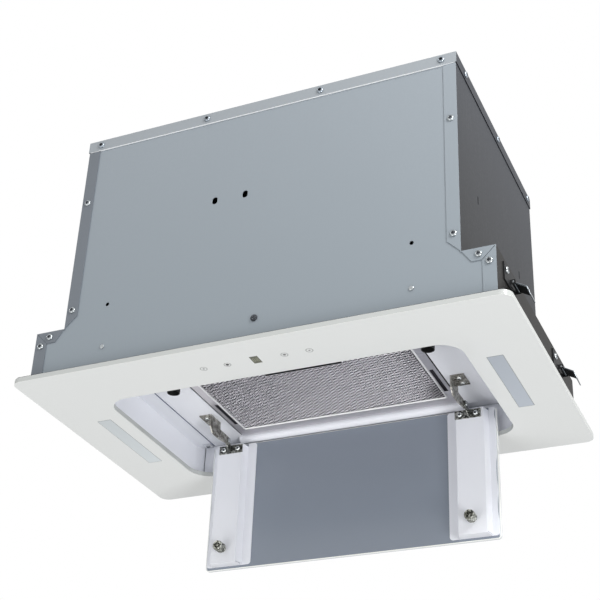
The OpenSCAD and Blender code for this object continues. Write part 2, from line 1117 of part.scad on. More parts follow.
module right_hinge_bracket() {
    color([0.5, 0.5, 0.48])
        hinge_bracket();
}

module hinge_pins() {
    inner = plate_x - gap;
    outer = plate_x + 2 * plate_t + 2 * gap;
    color([0.7, 0.7, 0.68])
        both_sides()
            translate([0, hinge_y, hinge_h])
                rotate([0, 90, 0]) {
                    translate([0, 0, inner])
                        cylinder(r = pin_r, h = outer - inner);
                    translate([0, 0, inner - plate_t])
                        cylinder(r = pin_r * 8 / 5, h = plate_t);
                    translate([0, 0, outer])
                        cylinder(r = pin_r * 8 / 5, h = plate_t);
                }
}

module bracket_screws() {
    color([0.72, 0.73, 0.7])
        both_sides()
            at_brackets_right()
                small_screw();
}

module catch_sockets() {
    color([0.08, 0.08, 0.08])
        at_catches()
            difference() {
                translate([0, 0, socket_bottom])
                    cylinder(r = socket_r, h = ceiling_h - socket_bottom);
                translate([0, 0, socket_bottom - over])
                    cylinder(r = socket_bore_r, h = ceiling_h - socket_bottom - socket_top_t + over);
            }
}

// Door: drawn closed, then swung down about the hinge line
module hanging() {
    translate([0, hinge_y, hinge_h])
        rotate([90, 0, 0])
            translate([0, -hinge_y, -hinge_h])
                children();
}

module door_glass() {
    color([0.47, 0.5, 0.54])
        hanging()
            translate([0, hinge_y + door_back - door_d / 2, door_bottom])
                linear_extrude(door_t)
                    rounded(door_w, door_d, door_r);
}

module rail_outer_shape() {
    polygon([
        [rail_in, door_top], [rail_out, door_top], [rail_out, door_top + sheet_t],
        [rail_web_out, door_top + sheet_t], [rail_web_out - rail_slope, rail_top],
        [rail_web_in + rail_slope, rail_top], [rail_web_in, door_top + sheet_t],
        [rail_in, door_top + sheet_t]
    ]);
}

module rail_inner_shape() {
    polygon([
        [rail_web_in + sheet_t, door_top - over], [rail_web_out - sheet_t, door_top - over],
        [rail_web_out - sheet_t, door_top], [rail_web_out - sheet_t - rail_slope, rail_top - sheet_t],
        [rail_web_in + sheet_t + rail_slope, rail_top - sheet_t], [rail_web_in + sheet_t, door_top]
    ]);
}

// A hat section whose far end is closed by its end flap
module rail_relief_shape(l) {
    polygon(concat(
        [for (i = [0 : rail_relief_steps])
            let (t = 2 * i / rail_relief_steps - 1)
            [rail_relief_d * (t * t - 1), t * l / 2]],
        [[over, l / 2], [over, -l / 2]]
    ));
}
module door_rail() {
    difference() {
        union() {
            translate([0, rail_rear, 0])
                rotate([90, 0, 0])
                    linear_extrude(rail_l)
                        rail_outer_shape();
            for (x = [[rail_in, rail_web_in], [rail_web_out, rail_out]])
                translate([x[0], rail_rear - over, door_top])
                    cube([x[1] - x[0], rail_lap + over, sheet_t]);
        }
        translate([0, rail_rear + over, 0])
            rotate([90, 0, 0])
                linear_extrude(rail_l + over - sheet_t)
                    rail_inner_shape();
        at_leaves_right()
            drill(small_shank_r);
        for (i = [0 : len(rail_relief_y) - 1])
            translate([rail_out, rail_relief_y[i], door_top - over])
                linear_extrude(sheet_t + 2 * over)
                    rail_relief_shape(rail_relief_l[i]);
        for (x = [rail_web_in - over, rail_web_out - rail_slope - 2 * sheet_t])
            translate([x, rail_rear - rail_l + sheet_t, door_top + sheet_t])
                cube([rail_slope + 2 * sheet_t + over, rail_slit_w, rail_h - 2 * sheet_t]);
        at_catches()
            translate([0, 0, rail_top])
                drill(small_shank_r);
    }
}

module left_door_rail() {
    color([0.9, 0.91, 0.93])
        hanging()
            mirror([1, 0, 0])
                door_rail();
}

module right_door_rail() {
    color([0.9, 0.91, 0.93])
        hanging()
            door_rail();
}

module hinge_leaf() {
    ear_x = plate_x + plate_t + gap;
    difference() {
        union() {
            translate([leaf_in, leaf_front, rail_top])
                cube([leaf_out - leaf_in, leaf_rear - leaf_front, plate_t]);
            along(ear_x, plate_t)
                difference() {
                    union() {
                        polygon([
                            [leaf_front, rail_top], [leaf_rear, rail_top],
                            [hinge_y + eye_r * 4 / 5, hinge_h - eye_r / 2],
                            [hinge_y - eye_r * 4 / 5, hinge_h + eye_r / 2]
                        ]);
                        translate([hinge_y, hinge_h])
                            circle(eye_r - gap);
                    }
                    translate([hinge_y, hinge_h])
                        circle(pin_r + run);
                }
        }
        at_leaves_right()
            drill(small_shank_r);
    }
}

module left_hinge_leaf() {
    color([0.6, 0.6, 0.58])
        hanging()
            mirror([1, 0, 0])
                hinge_leaf();
}

module right_hinge_leaf() {
    color([0.6, 0.6, 0.58])
        hanging()
            hinge_leaf();
}

module leaf_screws() {
    color([0.72, 0.73, 0.7])
        hanging()
            both_sides()
                at_leaves_right()
                    small_screw();
}

module catch_studs() {
    color([0.62, 0.63, 0.58])
        hanging()
            at_catches()
                translate([0, 0, rail_top]) {
                    cylinder(r = stud_neck_r, h = stud_neck_h);
                    translate([0, 0, stud_neck_h])
                        cylinder(r = stud_r, h = stud_h - stud_neck_h);
                    translate([0, 0, -small_shank_l])
                        cylinder(r = small_shank_r, h = small_shank_l);
                }
}

// Fan
function spiral_r(turn) = scroll_r + scroll_grow * (turn - scroll_start) / (360 - scroll_start);
function spiral(grow) = [
    for (turn = [scroll_start : scroll_turn : 360])
        (spiral_r(turn) + grow) * [cos(turn), sin(turn)]
];

module scroll_shape(grow = 0, rise = 0) {
    top = lid_under - fan_h + rise;
    translate([fan_y, fan_h])
        polygon(concat(
            [[(scroll_r + grow) * cos(scroll_start), top]],
            spiral(grow),
            [[scroll_r + scroll_grow + grow, top]]
        ));
}

module scroll_wrap() {
    color([0.7, 0.72, 0.73])
        along(-scroll_x, scroll_w)
            difference() {
                scroll_shape(sheet_t);
                scroll_shape(0, over);
            }
}

module scroll_plate() {
    along(scroll_x, sheet_t)
        difference() {
            scroll_shape(sheet_t);
            translate([fan_y, fan_h])
                circle(inlet_r - sheet_t);
        }
    translate([scroll_x - 4 * sheet_t, fan_y, fan_h])
        rotate([0, 90, 0])
            difference() {
                cylinder(r = inlet_r, h = 5 * sheet_t);
                translate([0, 0, -over])
                    cylinder(r = inlet_r - sheet_t, h = 5 * sheet_t + 2 * over);
            }
}

module left_scroll_plate() {
    color([0.72, 0.74, 0.75])
        mirror([1, 0, 0])
            scroll_plate();
}

module right_scroll_plate() {
    color([0.72, 0.74, 0.75])
        scroll_plate();
}

module impeller() {
    color([0.75, 0.76, 0.77])
        translate([0, fan_y, fan_h])
            rotate([0, 90, 0])
                union() {
                    for (z = [-impeller_w / 2, impeller_w / 2 - disc_t])
                        translate([0, 0, z])
                            difference() {
                                cylinder(r = impeller_r, h = disc_t);
                                translate([0, 0, -over])
                                    cylinder(r = inlet_r + sheet_t, h = disc_t + 2 * over);
                            }
                    translate([0, 0, -disc_t])
                        difference() {
                            union() {
                                cylinder(r = impeller_r, h = disc_t);
                                translate([0, 0, -hub_l + disc_t])
                                    cylinder(r = hub_r, h = hub_l);
                            }
                            translate([0, 0, -hub_l])
                                cylinder(r = shaft_r, h = 2 * hub_l);
                        }
                    for (i = [0 : blade_count - 1])
                        rotate([0, 0, i * 360 / blade_count])
                            translate([(impeller_r + inlet_r) / 2, 0, 0])
                                rotate([0, 0, blade_lean])
                                    cube([impeller_r - inlet_r - disc_t, blade_t, impeller_w], center = true);
                }
}

module motor_shaft() {
    color([0.6, 0.6, 0.6])
        translate([-hub_l, fan_y, fan_h])
            rotate([0, 90, 0])
                cylinder(r = shaft_r, h = shaft_l);
}

module motor() {
    color([0.35, 0.36, 0.38])
        translate([motor_x, fan_y, fan_h])
            rotate([0, 90, 0])
                difference() {
                    union() {
                        cylinder(r = motor_r, h = motor_l);
                        translate([0, 0, -shaft_r])
                            cylinder(r = hub_r, h = motor_l + 2 * shaft_r);
                    }
                    translate([0, 0, -2 * shaft_r])
                        cylinder(r = shaft_r + run, h = motor_l + 4 * shaft_r);
                }
}

module motor_bracket() {
    color([0.62, 0.64, 0.66])
        translate([scroll_x + sheet_t, fan_y, fan_h])
            rotate([0, 90, 0])
                difference() {
                    union() {
                        difference() {
                            cylinder(r = inlet_r + bracket_ring_w, h = arm_t);
                            translate([0, 0, -over])
                                cylinder(r = inlet_r, h = arm_t + 2 * over);
                        }
                        for (turn = [60, 180, 300])
                            rotate([0, 0, turn])
                                translate([0, -arm_w / 2, 0])
                                    cube([inlet_r + bracket_ring_w / 2, arm_w, arm_t]);
                        cylinder(r = motor_r + bracket_ring_w / 2, h = 4 * arm_t);
                    }
                    translate([0, 0, -over])
                        cylinder(r = motor_r, h = 4 * arm_t + 2 * over);
                }
}

// Duct
module duct_collar() {
    color([0.86, 0.87, 0.87])
        translate([0, duct_y, case_h])
            difference() {
                union() {
                    cylinder(r = duct_r, h = duct_h);
                    cylinder(r = duct_r + collar_flange, h = 2 * collar_t);
                }
                translate([0, 0, -over])
                    cylinder(r = duct_r - collar_t, h = duct_h + 2 * over);
                translate([0, 0, rod_z - case_h])
                    rotate([90, 0, 0])
                        cylinder(r = rod_r, h = 2 * duct_r + over, center = true);
            }
}

module flap_rod() {
    color([0.7, 0.7, 0.7])
        translate([0, duct_y, rod_z])
            rotate([90, 0, 0])
                cylinder(r = rod_r, h = 2 * duct_r - collar_t, center = true);
}

// The flaps share the rod: the right one has the knuckles at the ends, the left one the middle
module flap(knuckles) {
    reach = duct_r - collar_t - flap_play;
    difference() {
        union() {
            translate([0, duct_y, rod_z - flap_t / 2])
                intersection() {
                    cylinder(r = reach, h = flap_t);
                    translate([knuckle_r + gap, -reach, -over])
                        cube([reach, 2 * reach, flap_t + 2 * over]);
                }
            for (k = knuckles) {
                translate([0, duct_y + k[0] * reach, rod_z])
                    rotate([-90, 0, 0])
                        cylinder(r = knuckle_r, h = (k[1] - k[0]) * reach);
                translate([0, duct_y + k[0] * reach, rod_z - flap_t / 2])
                    cube([2 * knuckle_r, (k[1] - k[0]) * reach, flap_t]);
            }
        }
        translate([0, duct_y, rod_z])
            rotate([90, 0, 0])
                cylinder(r = rod_r + run, h = 2 * duct_r, center = true);
    }
}

left_knuckle_shares = [[-0.2, 0.2]];
right_knuckle_shares = [[-0.8, -0.4], [0.4, 0.8]];

module left_flap() {
    color([0.3, 0.31, 0.32])
        mirror([1, 0, 0])
            flap(left_knuckle_shares);
}

module right_flap() {
    color([0.3, 0.31, 0.32])
        flap(right_knuckle_shares);
}

// Electrics
module at_board_posts() {
    for (fx = [0, 1], fy = [0, 1])
        translate([
            box_x + 4 * post_r + fx * (box_w - 8 * post_r),
            box_y + 4 * post_r + fy * (box_d - 8 * post_r), 0
        ])
            children();
}

module control_box() {
    color([0.88, 0.88, 0.86])
        union() {
            difference() {
                translate([box_x, box_y, lid_under - box_h])
                    cube([box_w, box_d, box_h]);
                translate([box_x + box_t, box_y + box_t, lid_under - box_h - over])
                    cube([box_w - 2 * box_t, box_d - 2 * box_t, box_h - box_t + over]);
            }
            at_board_posts()
                translate([0, 0, lid_under - box_t - post_h])
                    cylinder(r = post_r, h = post_h + over);
        }
}

module control_board() {
    board_z = lid_under - box_t - post_h - board_t;
    color([0.1, 0.35, 0.2])
        union() {
            translate([box_x + box_t + gap, box_y + box_t + gap, board_z])
                cube([box_w - 2 * (box_t + gap), box_d - 2 * (box_t + gap), board_t]);
            translate([box_x + box_w / 2, box_y + box_d / 2, board_z - post_h])
                cube([6 * post_r, 8 * post_r, 2 * post_h], center = true);
        }
}

module capacitor() {
    color([0.8, 0.8, 0.78])
        translate([capacitor_x, capacitor_y, lid_under - capacitor_l])
            cylinder(r = capacitor_r, h = capacitor_l);
}

module cable_gland() {
    color([0.12, 0.12, 0.12])
        translate([gland_x, upper_rear, gland_z])
            facing("rear")
                difference() {
                    union() {
                        translate([0, 0, -sheet_t - gland_nut_t])
                            cylinder(r = gland_r, h = gland_l + sheet_t + gland_nut_t);
                        translate([0, 0, -sheet_t - gland_nut_t])
                            cylinder(r = gland_nut_r, h = gland_nut_t, $fn = 6);
                        cylinder(r = gland_nut_r, h = gland_nut_t, $fn = 6);
                    }
                    translate([0, 0, -sheet_t - gland_nut_t - over])
                        cylinder(r = gland_bore_r, h = gland_l + sheet_t + gland_nut_t + 2 * over);
                }
}

// Spring clips
module clip_base(y, bolt_y) {
    ear_y = clip_w / 2 + gap;
    base_front = bolt_y - 2 * head_r;
    difference() {
        union() {
            translate([lower_x, base_front, clip_base_low])
                cube([clip_base_t, y + ear_y + clip_ear_t - base_front, clip_base_high - clip_base_low]);
            for (e = [-ear_y - clip_ear_t, ear_y])
                translate([lower_x, y + e, clip_pin_z - clip_knuckle_r])
                    cube([clip_pin_x + clip_knuckle_r - lower_x, clip_ear_t, 2 * clip_knuckle_r]);
        }
        translate([clip_pin_x, y, clip_pin_z])
            rotate([90, 0, 0])
                cylinder(r = clip_pin_r, h = 2 * clip_w, center = true);
    }
}

module clip_bases() {
    color([0.62, 0.64, 0.66])
        difference() {
            both_sides()
                for (i = [0, 1])
                    clip_base(clip_y[i], clip_bolt_y[i]);
            both_sides()
                at_clips_right()
                    drill();
        }
}

module clip_pins() {
    color([0.7, 0.7, 0.7])
        both_sides()
            for (y = clip_y)
                translate([clip_pin_x, y, clip_pin_z])
                    rotate([90, 0, 0])
                        cylinder(r = clip_pin_r, h = clip_w + 2 * (gap + clip_ear_t), center = true);
}

module clip_leaf(y) {
    pin = [clip_pin_x, clip_pin_z];
    tip = [lower_x + clip_reach, clip_pin_z - clip_drop];
    bend = [pin[0] + (tip[0] - pin[0]) * clip_bend_share[0], pin[1] - clip_drop * clip_bend_share[1]];
    half = [clip_t / 2, clip_t / 2];
    root = pin + (bend - pin) * clip_root_share;
    translate([0, y + clip_w / 2, 0])
        rotate([90, 0, 0])
            difference() {
                union() {
                    translate([pin[0], pin[1], 0])
                        cylinder(r = clip_knuckle_r - gap, h = clip_w);
                    linear_extrude(clip_w)
                        polygon([
                            root - half, root + half, bend + half, tip + [clip_t / 2, 0],
                            tip - [clip_t / 2, 0], bend - half
                        ]);
                }
                translate([pin[0], pin[1], -over])
                    cylinder(r = clip_pin_r + run, h = clip_w + 2 * over);
            }
}

module front_left_clip() {
    color([0.62, 0.64, 0.66])
        mirror([1, 0, 0])
            clip_leaf(clip_y[0]);
}

module front_right_clip() {
    color([0.62, 0.64, 0.66])
        clip_leaf(clip_y[0]);
}

module rear_left_clip() {
    color([0.62, 0.64, 0.66])
        mirror([1, 0, 0])
            clip_leaf(clip_y[1]);
}

module rear_right_clip() {
    color([0.62, 0.64, 0.66])
        clip_leaf(clip_y[1]);
}

glass_panel();
rim_seal();
panel_frame();
front_plate();
rear_plate();
left_side_panel();
right_side_panel();
top_lid();
lid_screws();
case_screws();
front_rivets();
front_screw();
recess_tray();
recess_rear_plate();
filter_surround();
recess_screws();
filter_frame();
filter_core();
filter_mesh();
filter_latch();
left_lamp_lens();
right_lamp_lens();
lamp_housings();
lamp_boards();
touch_board();
display_window();
touch_rings();
left_hinge_bracket();
right_hinge_bracket();
hinge_pins();
bracket_screws();
door_glass();
left_door_rail();
right_door_rail();
left_hinge_leaf();
right_hinge_leaf();
leaf_screws();
catch_studs();
catch_sockets();
scroll_wrap();
left_scroll_plate();
right_scroll_plate();
impeller();
motor_shaft();
motor();
motor_bracket();
duct_collar();
left_flap();
right_flap();
flap_rod();
control_box();
control_board();
capacitor();
cable_gland();
clip_bases();
clip_pins();
front_left_clip();
front_right_clip();
rear_left_clip();
rear_right_clip();
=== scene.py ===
# %% [markdown]
# # A built-in range hood, dressed for the camera
# The frame comes from a CAD model that already has the right sizes, so this lesson is about
# surfaces: which finish each piece has, how light shows it, and where an edge needs softening.
# New pieces take their places from the boxes of CAD nodes, and `corners_of` gives a box's corners.
# %% Load the frame
import json
import math

import bmesh
import bpy
from mathutils import Matrix, Vector


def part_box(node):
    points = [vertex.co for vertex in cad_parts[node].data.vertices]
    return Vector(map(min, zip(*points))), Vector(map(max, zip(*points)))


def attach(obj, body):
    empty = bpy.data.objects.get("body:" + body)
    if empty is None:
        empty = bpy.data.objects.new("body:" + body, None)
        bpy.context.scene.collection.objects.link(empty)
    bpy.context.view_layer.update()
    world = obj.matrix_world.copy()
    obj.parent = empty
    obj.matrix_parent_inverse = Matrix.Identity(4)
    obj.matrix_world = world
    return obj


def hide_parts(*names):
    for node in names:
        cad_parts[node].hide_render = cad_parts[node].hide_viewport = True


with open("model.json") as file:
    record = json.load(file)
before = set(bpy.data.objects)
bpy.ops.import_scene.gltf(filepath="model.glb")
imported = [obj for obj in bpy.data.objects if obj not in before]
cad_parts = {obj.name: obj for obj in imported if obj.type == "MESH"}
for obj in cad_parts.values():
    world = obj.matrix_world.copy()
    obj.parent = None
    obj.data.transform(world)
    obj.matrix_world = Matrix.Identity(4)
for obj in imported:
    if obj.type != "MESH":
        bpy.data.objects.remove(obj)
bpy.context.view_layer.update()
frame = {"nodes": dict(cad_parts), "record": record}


def corners_of(name):
    return [Vector(corner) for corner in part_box(name)]


nodes = frame["nodes"]

# %% [markdown]
# The camera stands low in front of the hood and to its right, and looks up at it. Its place and
# turn were worked out from straight edges of the hood, so they are numbers and not guesses. Three
# directions, right, up and back, are the columns of its rotation.
# %% Camera
azimuth, elevation, roll = (math.radians(angle) for angle in (24.95, -30.71, 2.52))
ahead = Vector((
    -math.sin(azimuth) * math.cos(elevation), math.cos(azimuth) * math.cos(elevation),
    -math.sin(elevation)))
level_right = Vector((math.cos(azimuth), math.sin(azimuth), 0))
level_up = level_right.cross(ahead)
right = math.cos(roll) * level_right + math.sin(roll) * level_up
up = math.cos(roll) * level_up - math.sin(roll) * level_right
camera = bpy.data.objects.new("Camera", bpy.data.cameras.new("Camera"))
camera.data.lens = 80.54
camera.data.clip_start = 0.05
camera.matrix_world = Matrix((right, up, -ahead)).transposed().to_4x4()
camera.location = (0.59415, -1.31844, -0.71180)
bpy.context.scene.collection.objects.link(camera)
bpy.context.scene.camera = camera
print("Camera", [round(v, 3) for v in camera.location], "lens", camera.data.lens)

# %% [markdown]
# Shaders are nodes and wires. `add` makes a node, and each of its inputs takes either a value or
# another node's output. Mixing, a new range and sums come up so often that each has a helper, which
# gives back its output at once.
# %% Node helpers
def add(tree, kind, inputs=(), **settings):
    node = tree.nodes.new("ShaderNode" + kind)
    for key, value in settings.items():
        setattr(node, key, value)
    for key, value in dict(inputs).items():
        if isinstance(value, bpy.types.NodeSocket):
            tree.links.new(value, node.inputs[key])
        else:
            node.inputs[key].default_value = value
    return node


def mix(tree, first, second, factor, **settings):
    settings = {"data_type": "RGBA", **settings}
    inputs = {"A": first, "B": second, "Factor": factor}
    return add(tree, "Mix", inputs, **settings).outputs["Result"]


def remap(tree, value, low, high, to_low=0, to_high=1):
    return add(tree, "MapRange", {
        "Value": value, "From Min": low, "From Max": high, "To Min": to_low, "To Max": to_high,
    }).outputs["Result"]


def maths(tree, operation, first, second=0):
    return add(tree, "Math", {0: first, 1: second}, operation=operation).outputs["Value"]


print("Node helpers ready")

# %% [markdown]
# A studio is one white surround and a few large lamps. The surround is pure white where the camera
# sees it, also in a reflection or through glass, and dimmer as a light, so that pale sheet keeps
# its shape.
# %% White surround
scene = bpy.context.scene
scene.view_settings.view_transform = "Standard"
world = bpy.data.worlds.new("White surround")
world.use_nodes = True
scene.world = world
as_light, as_seen = 0.46, 1.0
tree = world.node_tree
rays = add(tree, "LightPath").outputs
indirect = maths(tree, "MAXIMUM", rays["Is Glossy Ray"], rays["Is Transmission Ray"])
seen = maths(tree, "MAXIMUM", rays["Is Camera Ray"], indirect)
background = tree.nodes["Background"].inputs
background["Color"].default_value = (1, 1, 1, 1)
tree.links.new(remap(tree, seen, 0, 1, as_light, as_seen), background["Strength"])
print("Surround ready")

# %% [markdown]
# Large area lamps give soft edges to shadows. Two stand below the hood. The left one is weak and
# fills the recess, and the right one lights the underside of the panel and the door. The third
# stands high at the right front and brightens the top of the case.
# %% Lamps and floor
def soft_lamp(name, place, aim, size, power):
    lamp = bpy.data.objects.new(name, bpy.data.lights.new(name, "AREA"))
    lamp.data.size = size
    lamp.data.energy = power
    lamp.location = place
    lamp.rotation_euler = (Vector(aim) - Vector(place)).to_track_quat("-Z", "Y").to_euler()
    bpy.context.scene.collection.objects.link(lamp)


soft_lamp("Lamp below left", (-1.0, -1.3, -1.3), (0, 0, 0.05), 1.6, 13)
soft_lamp("Lamp below right", (2.1, -1.2, -1.3), (-0.15, 0.05, 0.02), 1.0, 34)
soft_lamp("Lamp high front", (1.2, -0.9, 0.95), (0.22, -0.17, 0.28), 0.6, 22)
floor_z, floor_half = -3.4, 14
floor_mesh = bmesh.new()
bmesh.ops.create_grid(floor_mesh, x_segments=1, y_segments=1, size=floor_half)
bmesh.ops.translate(floor_mesh, verts=floor_mesh.verts, vec=(0, 0, floor_z))
floor = bpy.data.objects.new("Floor", bpy.data.meshes.new("Floor"))
floor_mesh.to_mesh(floor.data)
floor_mesh.free()
bpy.context.scene.collection.objects.link(floor)
print("Lamps and floor ready")

# %% [markdown]
# Colours are easier to judge as screen values from 0 to 255, but Blender works with linear light.
# This helper turns one into the other.
# %% Screen colours
def screen(red, green, blue):
    linear = []
    for value in (red, green, blue):
        part = value / 255
        linear.append(part / 12.92 if part <= 0.04045 else ((part + 0.055) / 1.055) ** 2.4)
    return (*linear, 1)


print("Mid grey in linear light:", [round(v, 3) for v in screen(128, 128, 128)])

# %% [markdown]
# Effects that several finishes share are node groups, made once. A group takes a place on the
# surface and gives back a colour factor, a mask or a height. Each material then sets its own
# amounts.
# %% Group helper
def new_group(name, inputs, outputs):
    group = bpy.data.node_groups.new(name, "ShaderNodeTree")
    for title, kind, value in inputs:
        socket = group.interface.new_socket(title, in_out="INPUT", socket_type=kind)
        if value is not None:
            socket.default_value = value
    for title, kind in outputs:
        group.interface.new_socket(title, in_out="OUTPUT", socket_type=kind)
    return group, group.nodes.new("NodeGroupInput"), group.nodes.new("NodeGroupOutput")


VECTOR, FLOAT = "NodeSocketVector", "NodeSocketFloat"
print("Group helper ready")

# %% [markdown]
# Zinc on galvanised sheet sets in flat crystals a few millimetres wide, each a shade lighter or
# darker than the next. Voronoi cells give each crystal its own value, and the steel below adds a
# grain along the way that it was rolled.
# %% Group: zinc crystals
zinc_crystals, given, result = new_group(
    "Zinc crystals", [("Vector", VECTOR, None), ("Crystals per metre", FLOAT, 420.0)],
    [("Shade", FLOAT)])
place = given.outputs["Vector"]
cells = add(zinc_crystals, "TexVoronoi", {
    "Vector": place, "Scale": given.outputs["Crystals per metre"]})
one_value = add(zinc_crystals, "SeparateColor", {"Color": cells.outputs["Color"]}).outputs["Red"]
clouds = add(zinc_crystals, "TexNoise", {"Vector": place, "Scale": 9, "Detail": 4}).outputs["Fac"]
blend = mix(zinc_crystals, one_value, clouds, 0.6, data_type="FLOAT")
zinc_crystals.links.new(blend, result.inputs["Shade"])
print("Made", zinc_crystals.name)

# %% [markdown]
# Rolled, brushed and ground metal all have a grain that runs one way. A noise that is stretched a
# hundred times along one axis gives it, so the group asks how far to stretch each axis.
# %% Group: grain
grain, given, result = new_group(
    "Grain", [("Vector", VECTOR, None), ("Stretch", VECTOR, (900, 900, 12))], [("Lines", FLOAT)])
scaled = add(grain, "VectorMath", {
    0: given.outputs["Vector"], 1: given.outputs["Stretch"]}, operation="MULTIPLY")
lines = add(grain, "TexNoise", {
    "Vector": scaled.outputs["Vector"], "Scale": 1, "Detail": 3, "Roughness": 0.6})
grain.links.new(lines.outputs["Fac"], result.inputs["Lines"])
print("Made", grain.name)

# %% [markdown]
# Powder coat and moulded plastic aren't quite flat: they have a skin like orange peel. Fine noise
# gives its height, and a coarser one shows where hands and dust have dulled it.
# %% Group: orange peel
orange_peel, given, result = new_group(
    "Orange peel", [("Vector", VECTOR, None), ("Bumps per metre", FLOAT, 500.0)],
    [("Height", FLOAT), ("Dulling", FLOAT)])
place = given.outputs["Vector"]
skin = add(orange_peel, "TexNoise", {
    "Vector": place, "Scale": given.outputs["Bumps per metre"], "Detail": 2})
marks = add(orange_peel, "TexNoise", {"Vector": place, "Scale": 14, "Detail": 6})
orange_peel.links.new(skin.outputs["Fac"], result.inputs["Height"])
orange_peel.links.new(marks.outputs["Fac"], result.inputs["Dulling"])
print("Made", orange_peel.name)

# %% [markdown]
# Handling leaves short scratches at all angles. Two thin, stretched noises that are turned against
# each other are cut off high, so only their peaks remain as lines.
# %% Group: scratches
scratches, given, result = new_group(
    "Scratches", [("Vector", VECTOR, None), ("Amount", FLOAT, 0.3)], [("Lines", FLOAT)])
peaks = []
for angle in (25, 115):
    way = add(scratches, "Mapping", {
        "Vector": given.outputs["Vector"], "Rotation": [math.radians(angle)] * 3,
        "Scale": (700, 20, 90)})
    streaks = add(scratches, "TexNoise", {
        "Vector": way.outputs["Vector"], "Scale": 1, "Detail": 1})
    peaks.append(remap(scratches, streaks.outputs["Fac"], 0.68, 0.74))
faded = maths(scratches, "MULTIPLY", maths(scratches, "MAXIMUM", *peaks), given.outputs["Amount"])
scratches.links.new(faded, result.inputs["Lines"])
print("Made", scratches.name)

# %% [markdown]
# Every finish starts the same way: a Principled shader, the object's own coordinates, a colour
# that varies between two near values, a roughness that varies, and a faint bump. `new_finish`
# makes the shader, and `tint`, `vary` and `raise_by` wire the rest.
# %% Finish helper
def use_group(tree, group, place, **values):
    node = tree.nodes.new("ShaderNodeGroup")
    node.node_tree = group
    tree.links.new(place, node.inputs["Vector"])
    for title, value in values.items():
        node.inputs[title.replace("_", " ")].default_value = value
    return node


def vary(tree, factor, low, high, socket):
    tree.links.new(remap(tree, factor, 0, 1, low, high), socket)


def tint(tree, factor, first, second, socket):
    mixed = mix(tree, first, second, factor)
    tree.links.new(mixed, socket)
    return mixed


def raise_by(tree, height, metres, socket, under=None):
    bump = add(tree, "Bump", {"Height": height, "Strength": 1.0, "Distance": metres})
    if under is not None:
        tree.links.new(under, bump.inputs["Normal"])
    tree.links.new(bump.outputs["Normal"], socket)
    return bump.outputs["Normal"]


def new_finish(name, metallic=0.0):
    material = bpy.data.materials.new(name)
    material.use_nodes = True
    tree = material.node_tree
    shader = tree.nodes["Principled BSDF"]
    shader.inputs["Metallic"].default_value = metallic
    place = tree.nodes.new("ShaderNodeTexCoord").outputs["Object"]
    return material, tree, shader, place


def shade(colour, factor):
    return tuple(min(1, part * factor) for part in colour[:3]) + (1,)


finishes = {}
print("Finish helpers ready")

# %% [markdown]
# Galvanised sheet is half metal to the eye: the zinc shines, but its dull skin scatters most of
# the light. Crystals and grain move the colour by a few per cent and the roughness a little more.
# The side sheets and the lid have copies that carry painted shade and painted light, and
# `foot_shade` is painted shade, the colour at the lower edge.
# %% Finish: galvanised sheet
def galvanised(name, colour, foot_shade=None, shine=0.5, metallic=0.42, grain_way=(700, 700, 9)):
    material, tree, shader, place = new_finish(name, metallic)
    shader.inputs["Specular IOR Level"].default_value = shine
    crystals = use_group(tree, zinc_crystals, place)
    rolled = use_group(tree, grain, place, Stretch=grain_way)
    worn = use_group(tree, scratches, place, Amount=0.25)
    spangle = tint(tree, crystals.outputs["Shade"], shade(colour, 0.97), shade(colour, 1.03),
                   shader.inputs["Base Color"])
    # Painted shade: the colour darkens towards foot_shade at the lower edge.
    if foot_shade:
        height = add(tree, "SeparateXYZ", {"Vector": place}).outputs["Z"]
        low_z, high_z = (corner[2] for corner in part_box("front_plate"))
        tint(tree, remap(tree, height, low_z, high_z), foot_shade, spangle, shader.inputs["Base Color"])
    patches = maths(tree, "ADD", crystals.outputs["Shade"], rolled.outputs["Lines"])
    vary(tree, patches, 0.42, 0.54, shader.inputs["Roughness"])
    first = raise_by(tree, rolled.outputs["Lines"], 0.00003, shader.inputs["Normal"])
    raise_by(tree, worn.outputs["Lines"], 0.00002, shader.inputs["Normal"], first)
    return material


for key, title, colour, *others in (
        # A second colour in a row is painted shade at the lower edge.
        ("galvanised", "Galvanised sheet", (154, 162, 169), screen(144, 153, 160)),
        # Painted shade: darker copies of the sheet for the right wall and the clip bases, darker
        # still below the step.
        ("galvanised_dark", "Galvanised side sheet", (62, 65, 71), screen(31, 31, 31), 0.2, 0.36),
        ("galvanised_low", "Galvanised lower side", (36, 35, 34), None, 0.15, 0.36),
        # Painted light: a lighter copy of the sheet for the lid.
        ("galvanised_light", "Galvanised lid sheet", (160, 166, 171)),
        # Painted highlight for the front of the lid's hem.
        ("lid_hem", "Bright hem of the lid", (252, 253, 255), None, 0.6, 0.1),
        # Painted shade: a darker copy of the sheet for the left side panel.
        ("galvanised_left", "Galvanised left sheet", (117, 123, 130))):
    finishes[key] = galvanised(title, screen(*colour), *others)
print("Made", [finish.name for finish in finishes.values()])

# %% [markdown]
# The recess, the surround and the door's rails are steel with a white powder coat: a slightly blue
# white with a soft shine and a fine orange peel.
# %% Finish: white powder coat
def coated(name, colour, roughness=(0.3, 0.42), bumps=420.0, depth=0.00006, shine=0.5):
    material, tree, shader, place = new_finish(name)
    shader.inputs["Specular IOR Level"].default_value = shine
    peel = use_group(tree, orange_peel, place, Bumps_per_metre=bumps)
    tint(tree, peel.outputs["Dulling"], shade(colour, 0.97), shade(colour, 1.03),
         shader.inputs["Base Color"])
    vary(tree, peel.outputs["Dulling"], roughness[0], roughness[1], shader.inputs["Roughness"])
    raise_by(tree, peel.outputs["Height"], depth, shader.inputs["Normal"])
    return material


finishes["white_sheet"] = coated("White powder coat", screen(238, 240, 246))
print("Made", finishes["white_sheet"].name)

